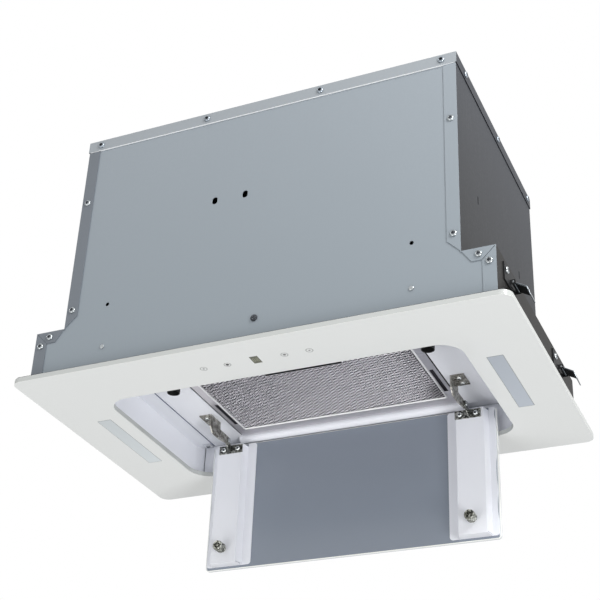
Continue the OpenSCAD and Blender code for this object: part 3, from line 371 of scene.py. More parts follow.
# %% [markdown]
# The panel is clear glass that is painted white on its back. Paint and glass read as one glossy
# white, but the cut edge shows the glass itself, which is a pale grey. The surface direction tells
# the two apart: a face that looks along the sheet's thin side is the front or back, and the rest
# is edge. The door's paint also leaves a bare margin. Small dots are printed on the panel, one in
# each of the four touch rings.
# %% Finish: back-painted glass
def printed(tree, place, under, x, y, radius, ink):
    offset = add(tree, "VectorMath", {0: place, 1: (x, y, 0)}, operation="SUBTRACT")
    flat = add(tree, "VectorMath", {
        0: offset.outputs["Vector"], 1: (1, 1, 0)}, operation="MULTIPLY")
    away = add(tree, "VectorMath", {0: flat.outputs["Vector"]}, operation="LENGTH")
    inside = remap(tree, away.outputs["Value"], radius * 1.15, radius * 0.85)
    return mix(tree, under, ink, inside)


def rim_mask(tree, value, middle, half, soft):
    size = maths(tree, "ABSOLUTE", maths(tree, "SUBTRACT", value, middle))
    return remap(tree, size, half - soft, half - soft / 3)


def bare_margin(tree, place, under, sheet, side, end, colour):
    low, high = corners_of(sheet)
    parts = add(tree, "SeparateXYZ", {"Vector": place}).outputs
    rims = [
        rim_mask(tree, parts[axis], (first + last) / 2, (last - first) / 2 - width, width / 8)
        for axis, first, last, width in (("X", low.x, high.x, side), ("Z", low.z, high.z, end))]
    return mix(tree, under, colour, maths(tree, "MAXIMUM", *rims))


def painted_glass(name, front, back, thin_axis, edge, marks=(), margin=None):
    material, tree, shader, place = new_finish(name)
    direction = add(tree, "TexCoord").outputs["Normal"]
    along = add(tree, "SeparateXYZ", {"Vector": direction}).outputs[thin_axis]
    is_face = remap(tree, maths(tree, "ABSOLUTE", along), 0.75, 0.95)
    is_back = remap(tree, along, -0.1, 0.1)
    peel = use_group(tree, orange_peel, place, Bumps_per_metre=12.0)
    face = mix(
        tree, mix(tree, front, back, is_back), (0.985, 0.99, 0.985, 1), peel.outputs["Dulling"],
        blend_type="MULTIPLY")
    for x, y, radius, ink in marks:
        face = printed(tree, place, face, x, y, radius, ink)
    if margin:
        face = bare_margin(tree, place, face, *margin, edge)
    tint(tree, is_face, edge, face, shader.inputs["Base Color"])
    vary(tree, peel.outputs["Dulling"], 0.12, 0.26, shader.inputs["Roughness"])
    raise_by(tree, peel.outputs["Height"], 0.00004, shader.inputs["Normal"])
    return material


rings_low, rings_high = corners_of("touch_rings")
mark_y, ring_r = (rings_low.y + rings_high.y) / 2, (rings_high.y - rings_low.y) / 2
first_x, last_x, mark_pitch = rings_low.x + ring_r, rings_high.x - ring_r, 0.030
touch_dots = [
    (first_x, mark_y, 0.0014, screen(150, 152, 152)),
    (first_x + mark_pitch, mark_y, 0.0021, screen(36, 38, 40)),
    (last_x - mark_pitch, mark_y, 0.0018, screen(110, 112, 112)),
    (last_x, mark_y, 0.0012, screen(140, 142, 142))]
finishes["white_glass"] = painted_glass(
    "White back-painted glass", screen(234, 236, 235), screen(190, 192, 194), "Z",
    screen(192, 195, 193), touch_dots)
finishes["grey_back_glass"] = painted_glass(
    "Door glass", screen(136, 144, 156), screen(224, 226, 227), "Y", screen(226, 229, 232),
    margin=("door_glass", 0.0022, 0.0007))
print("Made", finishes["white_glass"].name, "and", finishes["grey_back_glass"].name)

# %% [markdown]
# Bare metal: zinc-plated screws with a bluish shine, painted shade for their cross recesses, spring
# steel with a painted highlight on its cut edge, ground shafts, and aluminium, whose filter bead
# has a painted highlight. One helper serves them all, with the grain's way, the colour and the
# roughness set for each. Hinges and studs have coarser plating in flakes of varied tone, with
# painted glints and shade in its brightest and darkest flakes.
# %% Finish: bare metals
def bare_metal(name, colour, roughness, grain_way, metallic, depth=0.00002, spread=0.16):
    material, tree, shader, place = new_finish(name, metallic)
    brushed = use_group(tree, grain, place, Stretch=grain_way)
    worn = use_group(tree, scratches, place, Amount=0.5)
    tint(tree, brushed.outputs["Lines"], shade(colour, 1 - spread), shade(colour, 1 + spread),
         shader.inputs["Base Color"])
    vary(tree, brushed.outputs["Lines"], roughness * 0.75, roughness * 1.3,
         shader.inputs["Roughness"])
    first = raise_by(tree, brushed.outputs["Lines"], depth, shader.inputs["Normal"])
    raise_by(tree, worn.outputs["Lines"], depth, shader.inputs["Normal"], first)
    return material


# Flakes of varied tone; the brightest and darkest ones are painted glints and shade.
def speckled(name, colours, cells_per_metre, metallic=0.8):
    material, tree, shader, place = new_finish(name, metallic)
    flakes = add(tree, "TexVoronoi", {"Vector": place, "Scale": cells_per_metre})
    value = add(tree, "SeparateColor", {"Color": flakes.outputs["Color"]}).outputs
    dark, middle, bright = (screen(*colour) for colour in colours)
    lower = mix(tree, dark, middle, remap(tree, value["Red"], 0.15, 0.45))
    tint(tree, remap(tree, value["Red"], 0.6, 0.85), lower, bright, shader.inputs["Base Color"])
    vary(tree, value["Green"], 0.2, 0.42, shader.inputs["Roughness"])
    raise_by(tree, value["Green"], 0.0001, shader.inputs["Normal"])
    return material


all_ways, along_x, along_y = (500, 500, 500), (16, 700, 700), (900, 14, 900)
for key, title, colour, roughness, grain_way, metallic in (
        ("zinc", "Zinc plate", (170, 175, 177), 0.22, all_ways, 0.85),
        ("bright_zinc", "Bright zinc plate", (232, 236, 236), 0.2, all_ways, 0.6),
        # Painted highlight: the filter bead is near white.
        ("bead_painted_highlight", "Filter bead with painted highlight", (246, 246, 248), 0.3, along_x, 0.3),
        ("dull_zinc", "Dull zinc plate", (146, 154, 162), 0.3, all_ways, 0.75),
        # Painted shade for the cross recesses of the screws, in this row and the next.
        ("dark_screw", "Painted shade in lid screw recesses", (58, 61, 66), 0.4, all_ways, 0.7),
        ("recess_painted_shade", "Painted shade in cross recesses", (98, 102, 108), 0.4, all_ways, 0.7),
        ("spring_steel", "Spring steel", (74, 80, 84), 0.3, along_y, 0.92),
        # The cut edge is bare steel, and its brightness adds a painted highlight.
        ("cut_edge_painted_highlight", "Cut edge of spring steel with painted highlight", (196, 204, 210), 0.25, along_y, 0.92),
        ("shaft_steel", "Ground shaft", (176, 178, 180), 0.25, (14, 900, 900), 0.92),
        ("filter_alu", "Filter aluminium", (196, 194, 200), 0.3, along_x, 0.6)):
    finishes[key] = bare_metal(title, screen(*colour), roughness, grain_way, metallic)
for key, title, colours, cells_per_metre in (
        # The bright colour of each row is painted glint and the dark one painted shade.
        ("hinge_steel", "Hinge steel", ((122, 119, 113), (148, 146, 139), (186, 184, 178)), 300),
        ("leaf_steel", "Hinge leaf steel", ((48, 48, 46), (108, 110, 106), (176, 178, 172)), 560),
        ("nickel", "Nickel plate", ((62, 63, 58), (140, 141, 132), (222, 223, 214)), 640)):
    finishes[key] = speckled(title, colours, cells_per_metre)
print("Made", len(finishes), "finishes so far")

# %% [markdown]
# Plastics share the coated look with their own colours: the black catch sockets, the pale collar
# and control box. So do enamel, printed marks and the display, and so do painted shade for the
# filter's inner layers, seams and gaps, and a painted highlight for the ground edges of the glass.
# %% Finish: plastics and paints
for key, title, colour, roughness, *others in (
        ("black_plastic", "Black moulded plastic", (24, 25, 26), (0.42, 0.6), 900.0),
        ("pale_plastic", "Pale moulded plastic", (222, 222, 217), (0.4, 0.55), 900.0),
        ("board_white", "White lamp board", (235, 235, 230), (0.4, 0.5), 900.0),
        ("motor_grey", "Motor enamel", (92, 94, 98), (0.34, 0.5), 300.0, 0.0001),
        ("ring_mark", "Grey touch mark", (158, 160, 160), (0.3, 0.4), 900.0),
        # Painted shade: the filter's inner layers are darkened.
        ("filter_depth", "Shaded filter layers", (58, 56, 62), (0.8, 0.9), 300.0, 0.0001, 0.1),
        # The ground edge is pale, and its near-white colour adds a painted highlight.
        ("ground_glass", "Ground glass edge", (250, 252, 246), (0.08, 0.14), 200.0, 0.00001),
        # Painted shade for seams.
        ("seam_shadow", "Seam in shadow", (84, 92, 116), (0.5, 0.6), 300.0),
        # Painted shade for gaps and the sides of the lid's hem.
        ("deep_shadow", "Deep gap", (20, 20, 24), (0.7, 0.8), 300.0, 0.00006, 0.1),
        ("display", "Tinted display", (86, 88, 72), (0.12, 0.2), 40.0, 0.00002),
        ("display_segment", "Unlit segment", (150, 152, 128), (0.2, 0.3), 40.0, 0.00002)):
    finishes[key] = coated(title, screen(*colour), roughness, *others)
print("Made", len(finishes), "finishes so far")

# %% [markdown]
# A frosted lens scatters what light reaches it. Unlit it reads as a plain grey, and painted shade
# makes it a little darker towards its front end and darker still at its rim, for the gap round it.
# Distances from the lens's middle give that rim.
# %% Finish: lamp lens
def frosted(name, colour, lens):
    low, high = corners_of(lens)
    middle, half = (low + high) / 2, (high - low) / 2
    material, tree, shader, place = new_finish(name)
    parts = add(tree, "SeparateXYZ", {"Vector": place}).outputs
    along = remap(tree, parts["Y"], low.y, high.y)
    frost = use_group(tree, orange_peel, place, Bumps_per_metre=1600.0)
    painted_falloff_shade = mix(tree, shade(colour, 0.9), shade(colour, 1.05), along)
    rim = maths(
        tree, "MAXIMUM", rim_mask(tree, parts["X"], middle.x, half.x, 0.0009),
        rim_mask(tree, parts["Y"], middle.y, half.y, 0.0012))
    # Painted shade: darker towards the front end, and darker still at the rim.
    tint(tree, rim, painted_falloff_shade, screen(132, 138, 140), shader.inputs["Base Color"])
    vary(tree, frost.outputs["Dulling"], 0.26, 0.4, shader.inputs["Roughness"])
    raise_by(tree, frost.outputs["Height"], 0.00003, shader.inputs["Normal"])
    return material


finishes["lamp_lens"] = frosted("Frosted left lens", screen(214, 221, 224), "left_lamp_lens")
# Painted shade: the right lens is a darker copy of the left one.
right_lens_painted_shade_finish = frosted("Frosted right lens in painted shade", screen(184, 192, 202), "right_lamp_lens")
print("Made", finishes["lamp_lens"].name, "and", right_lens_painted_shade_finish.name)

# %% [markdown]
# A circuit board is green lacquer over copper tracks, and foam is full of small pores. Both are
# patterns of cells: square bricks for the tracks, round Voronoi cells for the pores.
# %% Finish: boards and foam
def circuit(name):
    material, tree, shader, place = new_finish(name)
    tracks = add(tree, "TexBrick", {
        "Vector": place, "Scale": 140, "Mortar Size": 0.06, "Color1": screen(18, 92, 60),
        "Color2": screen(22, 106, 68), "Mortar": screen(70, 132, 84)})
    lacquer = use_group(tree, orange_peel, place)
    tree.links.new(tracks.outputs["Color"], shader.inputs["Base Color"])
    vary(tree, lacquer.outputs["Dulling"], 0.2, 0.4, shader.inputs["Roughness"])
    raise_by(tree, tracks.outputs["Fac"], 0.00004, shader.inputs["Normal"])
    return material


def foam(name):
    material, tree, shader, place = new_finish(name)
    pores = add(tree, "TexVoronoi", {"Vector": place, "Scale": 900})
    tint(tree, pores.outputs["Distance"], screen(30, 30, 32), screen(66, 66, 68),
         shader.inputs["Base Color"])
    vary(tree, pores.outputs["Distance"], 0.95, 0.7, shader.inputs["Roughness"])
    raise_by(tree, pores.outputs["Distance"], 0.0003, shader.inputs["Normal"])
    return material


finishes["board_green"] = circuit("Circuit board")
finishes["foam"] = foam("Foam strip")
print("Made", len(finishes), "finishes")

# %% [markdown]
# Each CAD node's record names a material slot. Matching slots with finishes dresses all nodes at
# once, so nothing keeps a plain colour.
# %% Dress every CAD node
slot_of = {row["node"]: row["material_slot"] for row in frame["record"]["subparts"]}
finish_of = {name: finishes[slot] for name, slot in slot_of.items()}
for side in ("left", "right"):
    finish_of[side + "_hinge_bracket"] = finishes["hinge_steel"]
    finish_of[side + "_hinge_leaf"] = finishes["leaf_steel"]
finish_of["right_lamp_lens"] = right_lens_painted_shade_finish
finish_of["lid_screws"] = finishes["dull_zinc"]
finish_of["leaf_screws"] = finish_of["bracket_screws"] = finishes["bright_zinc"]
# Painted shade on the clip bases.
finish_of["clip_bases"] = finishes["galvanised_dark"]
finish_of["filter_core"] = finishes["filter_depth"]
finish_of["catch_studs"] = finishes["nickel"]
# The left side panel takes the copy with painted shade.
finish_of["left_side_panel"] = finishes["galvanised_left"]
finish_of["right_side_panel"] = finishes["galvanised"]
# The lid takes the copy with painted light.
finish_of["top_lid"] = finishes["galvanised_light"]
for name, node in nodes.items():
    if not node.material_slots:
        node.data.materials.append(None)
    for material_slot in node.material_slots:
        material_slot.material = finish_of[name]
body_of = {n: body for body, held in frame["record"]["behaviour"]["bodies"].items() for n in held}
print("Dressed", len(nodes), "nodes")

# %% [markdown]
# The floor is a pale mat, far below the hood. A little light of its own, which only the camera
# and reflections see, lifts it towards the white of the surround, and the shadow stays on it.
# %% Floor finish
floor_finish, tree, shader, place = new_finish("Pale floor")
mat_noise = add(tree, "TexNoise", {"Vector": place, "Scale": 30, "Detail": 5}).outputs["Fac"]
tint(tree, mat_noise, screen(238, 238, 238), screen(246, 246, 246), shader.inputs["Base Color"])
shader.inputs["Roughness"].default_value = 0.9
shader.inputs["Emission Color"].default_value = (1, 1, 1, 1)
own_light = 0.5
rays = add(tree, "LightPath").outputs
seen = maths(tree, "MAXIMUM", rays["Is Camera Ray"], rays["Is Glossy Ray"])
tree.links.new(maths(tree, "MULTIPLY", seen, own_light), shader.inputs["Emission Strength"])
floor.data.materials.append(floor_finish)
print("Made", floor_finish.name)

# %% [markdown]
# CAD edges are perfectly sharp, and real ones never are. A softened copy of a node merges its
# loose triangles, finds the edges between faces at an angle, and bevels them, so that folds and
# cut edges catch a thin line of light.
# %% Softening helper
sharp_turn, flat_turn, same_place = math.radians(28), math.radians(0.4), 0.000002


def finished(bm, name, body, finish, slot, smooth=32):
    mesh = bpy.data.meshes.new(name)
    bm.to_mesh(mesh)
    bm.free()
    mesh.shade_smooth()
    mesh.set_sharp_from_angle(angle=math.radians(smooth))
    mesh.materials.append(finish)
    piece = bpy.data.objects.new(name, mesh)
    bpy.context.scene.collection.objects.link(piece)
    even = piece.modifiers.new("Even shading", "WEIGHTED_NORMAL")
    even.keep_sharp = True
    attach(piece, body)
    return piece


def sharp_edges(bm):
    return [
        edge for edge in bm.edges
        if len(edge.link_faces) == 2 and edge.calc_face_angle(0) > sharp_turn]


def merged_copy(node):
    bm = bmesh.new()
    bm.from_mesh(nodes[node].data)
    bmesh.ops.remove_doubles(bm, verts=bm.verts, dist=same_place)
    bmesh.ops.dissolve_limit(
        bm, angle_limit=flat_turn, use_dissolve_boundaries=False, verts=bm.verts,
        edges=bm.edges, delimit=set())
    return bm


def rounded(bm, edges, width, segments, material=-1):
    bmesh.ops.bevel(
        bm, geom=edges, offset=width, offset_type="OFFSET", segments=segments, profile=0.5,
        affect="EDGES", clamp_overlap=True, material=material)


def softened(node, width, segments, edge_finish):
    bm = merged_copy(node)
    rounded(bm, sharp_edges(bm), width, segments, 1 if edge_finish else -1)
    piece = finished(bm, node + "_soft", body_of[node], finish_of[node], slot_of[node])
    if edge_finish:
        piece.data.materials.append(edge_finish)
    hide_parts(node)
    return piece


print("Softening helper ready")

# %% [markdown]
# The right wall lies in the hood's own shade, which is painted into its sheet: a darker grey, and
# darker still below the step. Only faces that look to the right take this painted shade, so the lid
# and the step stay light from above. Small faces between the front and the rear are the walls of
# the slits.
# %% Right wall
front_skin, clip_to_step, slit_area, faces_right = 0.002, 0.0065, 0.00004, 0.7


def shade_right_wall(piece):
    piece.data.materials.append(finishes["galvanised_dark"])
    piece.data.materials.append(finishes["galvanised_low"])
    front_y, rear_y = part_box("front_plate")[0][1] + front_skin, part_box("rear_plate")[0][1]
    step_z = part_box("clip_bases")[1][2] + clip_to_step
    # Painted shade on faces that look to the right, deeper below the step.
    for face in piece.data.polygons:
        in_slit = front_y < face.center.y < rear_y and face.area < slit_area
        if face.center.x > 0 and (face.normal.x > faces_right or in_slit):
            face.material_index = 2 if face.center.z < step_z else 1


print("Right wall ready")

# %% [markdown]
# The lid's skirt ends in a hem. Its lower edge gets a painted highlight along the front and painted
# shadow along the sides. That edge is one face all round, so two cuts part the front from the sides
# first.
# %% Hem of the lid
hem_h, skirt_w, faces_down = 0.0012, 0.002, -0.3


def mark_hem(piece):
    first = len(piece.data.materials)
    piece.data.materials.append(finishes["lid_hem"])
    piece.data.materials.append(finishes["deep_shadow"])
    low, high = corners_of("top_lid")
    bm = bmesh.new()
    bm.from_mesh(piece.data)
    for side in (-1, 1):
        bmesh.ops.bisect_plane(
            bm, geom=bm.verts[:] + bm.edges[:] + bm.faces[:], dist=0.000001,
            plane_co=(side * (high.x - skirt_w), 0, 0), plane_no=(1, 0, 0))
    # Painted highlight on the front of the hem, painted shadow on its sides.
    for face in bm.faces:
        middle = face.calc_center_median()
        if middle.z < low.z + hem_h and face.normal.z < faces_down:
            on_side = abs(middle.x) > high.x - skirt_w
            face.material_index = first + on_side
    bm.to_mesh(piece.data)
    bm.free()


print("Hem helper ready")

# %% [markdown]
# Widths follow the real processes: glass is ground to a round of nearly a millimetre, folded sheet
# keeps half of one, and moulded plastic is between. A piece may give its rounded edges a finish of
# their own: ground glass with a painted highlight, the cut edge of spring steel with a painted
# highlight, or painted seam shade.
# %% Soften the nodes that show
soft_widths = {
    "glass_panel": 0.0009, "door_glass": 0.0008, "front_plate": 0.0002, "rear_plate": 0.0003,
    "left_side_panel": 0.00045, "right_side_panel": 0.00045, "top_lid": 0.00045,
    "recess_tray": 0.00045, "recess_rear_plate": 0.00045, "filter_surround": 0.00045,
    "filter_frame": 0.00035, "left_lamp_lens": 0.0003, "right_lamp_lens": 0.0003,
    "left_hinge_bracket": 0.0003, "right_hinge_bracket": 0.0003, "left_hinge_leaf": 0.0003,
    "right_hinge_leaf": 0.0003, "catch_sockets": 0.0008, "duct_collar": 0.0005,
    "clip_bases": 0.0003, "front_left_clip": 0.0003, "front_right_clip": 0.0003,
    "rear_left_clip": 0.0003, "rear_right_clip": 0.0003, "cable_gland": 0.0006}
edge_finishes = {
    # The rear plate's rounded edges take painted seam shade.
    "recess_rear_plate": finishes["seam_shadow"], "glass_panel": finishes["ground_glass"],
    "door_glass": finishes["ground_glass"]}
# The clips' rounded edges take the painted highlight.
for name in ("front_left_clip", "front_right_clip", "rear_left_clip", "rear_right_clip"):
    edge_finishes[name] = finishes["cut_edge_painted_highlight"]
for name, width in soft_widths.items():
    piece = softened(name, width, 3 if "glass" in name else 2, edge_finishes.get(name))
    if name in ("right_side_panel", "top_lid"):
        shade_right_wall(piece)
    if name == "top_lid":
        mark_hem(piece)
    print(name, "softened by", width * 1000, "mm:", len(piece.data.polygons), "faces")

# %% [markdown]
# A cross recess is always in shade, so it gets painted shade, and that dark cross is what makes a
# screw read as a screw. Each screw is a loose part of its node. Its axis is the side of its box
# that differs from the other two, its rim is the widest ring, and all that lies inside the head and
# beyond that ring is recess.
# %% Screw heads
def islands(bm):
    waiting = set(bm.verts)
    while waiting:
        found, edge_of_search = set(), [waiting.pop()]
        while edge_of_search:
            vert = edge_of_search.pop()
            found.add(vert)
            near = [edge.other_vert(vert) for edge in vert.link_edges]
            edge_of_search += [other for other in near if other in waiting]
            waiting.difference_update(near)
        yield found


rim_share, recess_share, above_rim = 0.9, 0.7, 0.00005
wall_normal, floor_normal = 0.3, 0.995


def mark_recess(found):
    low = Vector(min(v.co[axis] for v in found) for axis in range(3))
    high = Vector(max(v.co[axis] for v in found) for axis in range(3))
    size, middle = high - low, (low + high) / 2
    gaps = [abs(size[(axis + 1) % 3] - size[(axis + 2) % 3]) for axis in range(3)]
    axis = gaps.index(min(gaps))
    radius = (size[(axis + 1) % 3] + size[(axis + 2) % 3]) / 4

    def from_axis(point):
        away = point - middle
        away[axis] = 0
        return away.length

    rim = [v.co[axis] for v in found if from_axis(v.co) > rim_share * radius]
    rim_at = sum(rim) / len(rim)
    outward = 1 if rim_at > middle[axis] else -1
    marked = 0
    for face in {face for vert in found for face in vert.link_faces}:
        centre = face.calc_center_median()
        along_axis = abs(face.normal[axis])
        wall_or_floor = along_axis < wall_normal or along_axis > floor_normal
        beyond = outward * (centre[axis] - rim_at) > above_rim
        if beyond and from_axis(centre) < recess_share * radius and wall_or_floor:
            face.material_index = 1
            marked += 1
    return marked


crossed = (
    "case_screws", "lid_screws", "front_screw", "recess_screws", "bracket_screws", "leaf_screws")
for name in crossed:
    bm = merged_copy(name)
    bm.normal_update()
    counts = [mark_recess(found) for found in islands(bm)]
    screws = finished(bm, name + "_crossed", body_of[name], finish_of[name], slot_of[name])
    # Painted shade in each cross recess.
    recess = "dark_screw" if name == "lid_screws" else "recess_painted_shade"
    screws.data.materials.append(finishes[recess])
    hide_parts(name)
    print(name, len(counts), "screws, recess faces in each:", sorted(set(counts)))

# %% [markdown]
# Expanded aluminium is one sheet that is slit and pulled open into diamonds, 6.8 mm wide and
# 5.3 mm long, counted on the real pattern. Pulling turns every strand, so that its rear edge lies
# deeper than its front edge. That tilt is what makes one set of strands bright and the other dark.
# Four strands make one cell of the pattern. The cell is doubled eleven times, which fills the
# window and more, and the strands outside the window are taken away.
# %% Filter mesh
def slab(bm, low, high):
    made = bmesh.ops.create_cube(bm, size=1)["verts"]
    low, high = Vector(low), Vector(high)
    bmesh.ops.scale(bm, verts=made, vec=high - low)
    bmesh.ops.translate(bm, verts=made, vec=(low + high) / 2)
    return made


diamond_w, diamond_d = 0.00676, 0.00526
strand_w, strand_t, strand_tilt, knot_lap = 0.0013, 0.00028, math.radians(27), 0.6
frame_low, frame_high = corners_of("filter_frame")
old_low, old_high = corners_of("filter_mesh")
peg_out, side_border, front_border, rear_border = 0.003, 0.012, 0.020, 0.018
window_x = frame_high.x - peg_out - side_border
window_front, window_rear = frame_low.y + front_border, frame_high.y - rear_border
grip_half, grip_depth, mesh_lift = 0.0505, 0.0277, 0.0002
grip_end = frame_low.y + grip_depth
mesh_z = (old_low.z + old_high.z) / 2 + mesh_lift


def strand(bm, start, end):
    along = end - start
    length, turn = along.length + knot_lap * strand_w, math.atan2(along.y, along.x)
    half = Vector((length, strand_w, strand_t)) / 2
    made = slab(bm, -half, half)
    for angle, axis in ((strand_tilt, "X"), (turn, "Z")):
        bmesh.ops.rotate(bm, verts=made, cent=(0, 0, 0), matrix=Matrix.Rotation(angle, 3, axis))
    bmesh.ops.translate(bm, verts=made, vec=(start + end) / 2)


def in_window(point):
    in_grip = abs(point.x) < grip_half and point.y < grip_end
    return abs(point.x) < window_x and window_front < point.y < window_rear and not in_grip


def verts_of(made):
    return [part for part in made if isinstance(part, bmesh.types.BMVert)]


def doubled(bm, times, reach):
    for power in range(times):
        made = bmesh.ops.duplicate(bm, geom=bm.verts[:] + bm.edges[:] + bm.faces[:])["geom"]
        bmesh.ops.translate(bm, verts=verts_of(made), vec=reach * 2 ** power)


x_doublings, y_doublings = 6, 5
middle_y = (window_front + window_rear) / 2
first = Vector((
    -diamond_w * 2 ** (x_doublings - 1), middle_y - diamond_d * 2 ** (y_doublings - 1), mesh_z))
bm = bmesh.new()
for knot in (first, first + Vector((diamond_w / 2, diamond_d / 2, 0))):
    for way in (-1, 1):
        strand(bm, knot, knot + Vector((diamond_w / 2, way * diamond_d / 2, 0)))
doubled(bm, x_doublings, Vector((diamond_w, 0, 0)))
doubled(bm, y_doublings, Vector((0, diamond_d, 0)))
outside = []
for found in islands(bm):
    if not in_window(sum((vert.co for vert in found), Vector()) / len(found)):
        outside += found
bmesh.ops.delete(bm, geom=outside, context="VERTS")
bmesh.ops.recalc_face_normals(bm, faces=bm.faces)
diamonds = finished(
    bm, "filter_diamonds", "grease_filter", finishes["filter_alu"], "filter_alu", 20)
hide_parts("filter_mesh")
print("Diamonds:", len(diamonds.data.polygons), "faces", [round(v, 4) for v in diamonds.dimensions])

# %% [markdown]
# The strands end in a rolled bead along the window of the frame. It is a thin tube that catches one
# bright line of light, and its near-white colour paints that highlight in, drawing the edge between
# the mesh and the frame.
# %% Bead round the mesh
def edges_between(bm, verts):
    return [edge for edge in bm.edges if all(vert in verts for vert in edge.verts)]


def swept_straight(bm, ring, reach):
    made = bmesh.ops.extrude_edge_only(bm, edges=edges_between(bm, ring))["geom"]
    bmesh.ops.translate(bm, verts=verts_of(made), vec=reach)
    return verts_of(made)


def swept_corner(bm, ring, centre):
    made = bmesh.ops.spin(
        bm, geom=ring + edges_between(bm, ring), cent=centre, axis=(0, 0, 1),
        angle=math.pi / 2, steps=5)
    return verts_of(made["geom_last"])


bead, bead_corner, bead_clear, bead_lift = 0.0013, 0.002, 0.0004, 0.00013
bead_x = window_x + bead_clear - bead_corner
bead_front = window_front - bead_clear + bead_corner
bead_rear = window_rear + bead_clear - bead_corner
bead_z = frame_low.z + bead_lift
bm = bmesh.new()
ring = bmesh.ops.create_circle(bm, segments=8, radius=bead)["verts"]
bmesh.ops.rotate(bm, verts=ring, cent=(0, 0, 0), matrix=Matrix.Rotation(math.pi / 2, 3, "X"))
bmesh.ops.translate(bm, verts=ring, vec=(bead_x + bead_corner, bead_front, bead_z))
for reach, centre in (
        ((0, bead_rear - bead_front, 0), (bead_x, bead_rear, bead_z)),
        ((-2 * bead_x, 0, 0), (-bead_x, bead_rear, bead_z)),
        ((0, bead_front - bead_rear, 0), (-bead_x, bead_front, bead_z)),
        ((2 * bead_x, 0, 0), (bead_x, bead_front, bead_z))):
    ring = swept_corner(bm, swept_straight(bm, ring, reach), centre)
bmesh.ops.remove_doubles(bm, verts=bm.verts, dist=0.00001)
bmesh.ops.recalc_face_normals(bm, faces=bm.faces)
bead_piece = finished(bm, "filter_bead", "grease_filter", finishes["bead_painted_highlight"], "filter_alu", 60)
print("Bead:", len(bead_piece.data.polygons), "faces")

# %% [markdown]
# Two dark strips of painted shade draw the recess: one in the shade that the surround's side edges
# cast, and one in the gap along both sides of the filter. The gap is seen from the right, so the
# right strip shows its full width. The boxes of the surround and of the filter frame give their
# places.
# %% Seams of the recess
ceiling_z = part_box("recess_rear_plate")[1][2]
surround_low, surround_high = corners_of("filter_surround")
filter_side = frame_high.x - peg_out
seam, seam_end, clear = 0.0011, 0.002, 0.0001
bm, gap_shade_bm = bmesh.new(), bmesh.new()
# Painted shade strips at the surround's edges and in the filter's side gaps.
for side, gap_shade_w in ((-1, 0.0006), (1, 0.0018)):
    near, far = sorted(side * (surround_high.x + out) for out in (0, seam))
    slab(bm, (near, surround_low.y, ceiling_z - seam / 2), (
        far, surround_high.y - seam_end, ceiling_z))
    near, far = sorted(side * (filter_side + out) for out in (clear, clear + gap_shade_w))
    slab(gap_shade_bm, (near, frame_low.y, frame_low.z), (
        far, frame_high.y - peg_out, frame_low.z + 2 * clear))
finished(bm, "surround_edge_painted_shade", "hood", finishes["seam_shadow"], "white_sheet")
finished(gap_shade_bm, "filter_gap_painted_shade", "hood", finishes["deep_shadow"], "foam")
print("Painted edge shade at x", round(surround_high.x, 4), "and gap shade at x", round(filter_side, 4))

# %% [markdown]
# The finger recess of the filter has a black liner: three walls and a roof, open below and at the
# front, where the latch slides.
# %% Grip liner
liner_wall, liner_round = 0.0006, 0.00015
grip_x, grip_front, grip_back = grip_half - 0.0008, frame_low.y + 0.0019, grip_end - 0.0004
liner_low, liner_high = frame_low.z + 0.0003, frame_high.z - 0.0009
bm = bmesh.new()
slab(bm, (-grip_x, grip_front, liner_high - liner_wall), (grip_x, grip_back, liner_high))
slab(bm, (-grip_x, grip_back - liner_wall, liner_low), (grip_x, grip_back, liner_high - liner_wall))
for side in (-1, 1):
    walls = sorted((side * grip_x, side * (grip_x - liner_wall)))
    slab(bm, (walls[0], grip_front, liner_low), (
        walls[1], grip_back - liner_wall, liner_high - liner_wall))
rounded(bm, bm.edges[:], liner_round, 2)
liner = finished(bm, "grip_liner", "grease_filter", finishes["black_plastic"], "black_plastic")
print("Liner:", len(liner.data.polygons), "faces")

# %% [markdown]
# The display window shows two unlit seven-segment digits, a little lighter than the tinted glass.
# The window's face is set back a tenth of a millimetre and the segments reach its old plane.
# %% Display digits
def digit_bars(middle_x, middle_y, width, height, bar):
    half_w, half_h = width / 2, height / 2
    for level in (-1, 0, 1):
        yield (middle_x - half_w, middle_y + level * half_h - bar / 2), (
            middle_x + half_w, middle_y + level * half_h + bar / 2)
    for side in (-1, 1):
        for level in (-1, 1):
            yield (middle_x + side * half_w - bar / 2, middle_y + min(0, level * half_h) + bar), (
                middle_x + side * half_w + bar / 2, middle_y + max(0, level * half_h) - bar)


set_back = 0.0001
low, high = corners_of("display_window")
bm = bmesh.new()
slab(bm, (low.x, low.y, low.z + set_back), high)
window_faces = len(bm.faces)
digit_w, digit_h, digit_bar, digit_apart = 0.0024, 0.0066, 0.0007, 0.0042
centre_y = (low.y + high.y) / 2
for side in (-1, 1):
    centre_x = (low.x + high.x) / 2 + side * digit_apart / 2
    for start, end in digit_bars(centre_x, centre_y, digit_w, digit_h, digit_bar):
        slab(bm, (*start, low.z), (*end, low.z + set_back))
bm.faces.ensure_lookup_table()
for face in bm.faces[window_faces:]:
    face.material_index = 1
digits = finished(bm, "display_digits", "hood", finishes["display"], "display")
digits.data.materials.append(finishes["display_segment"])
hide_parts("display_window")
print("Digits:", len(digits.data.polygons), "faces")

# %% [markdown]
# The catch studs are turned and knurled, with a cross recess in the face for the screwdriver. One
# profile is spun about the stud's axis. Where it is knurled, every other point of a ring then moves
# in a little. The cross is an outline of twelve points, which is extruded into the head.
# %% Catch studs
knurl_steps, knurl_deep, near_enough = 48, 0.00035, 0.00002


def spun(bm, base, profile):
    line = [bm.verts.new((base[0] + radius, base[1] - out, base[2])) for radius, out in profile]
    edges = [bm.edges.new(pair) for pair in zip(line, line[1:])]
    bmesh.ops.spin(
        bm, geom=line + edges, cent=base, axis=(0, 1, 0), angle=2 * math.pi,
        steps=knurl_steps, use_merge=True)


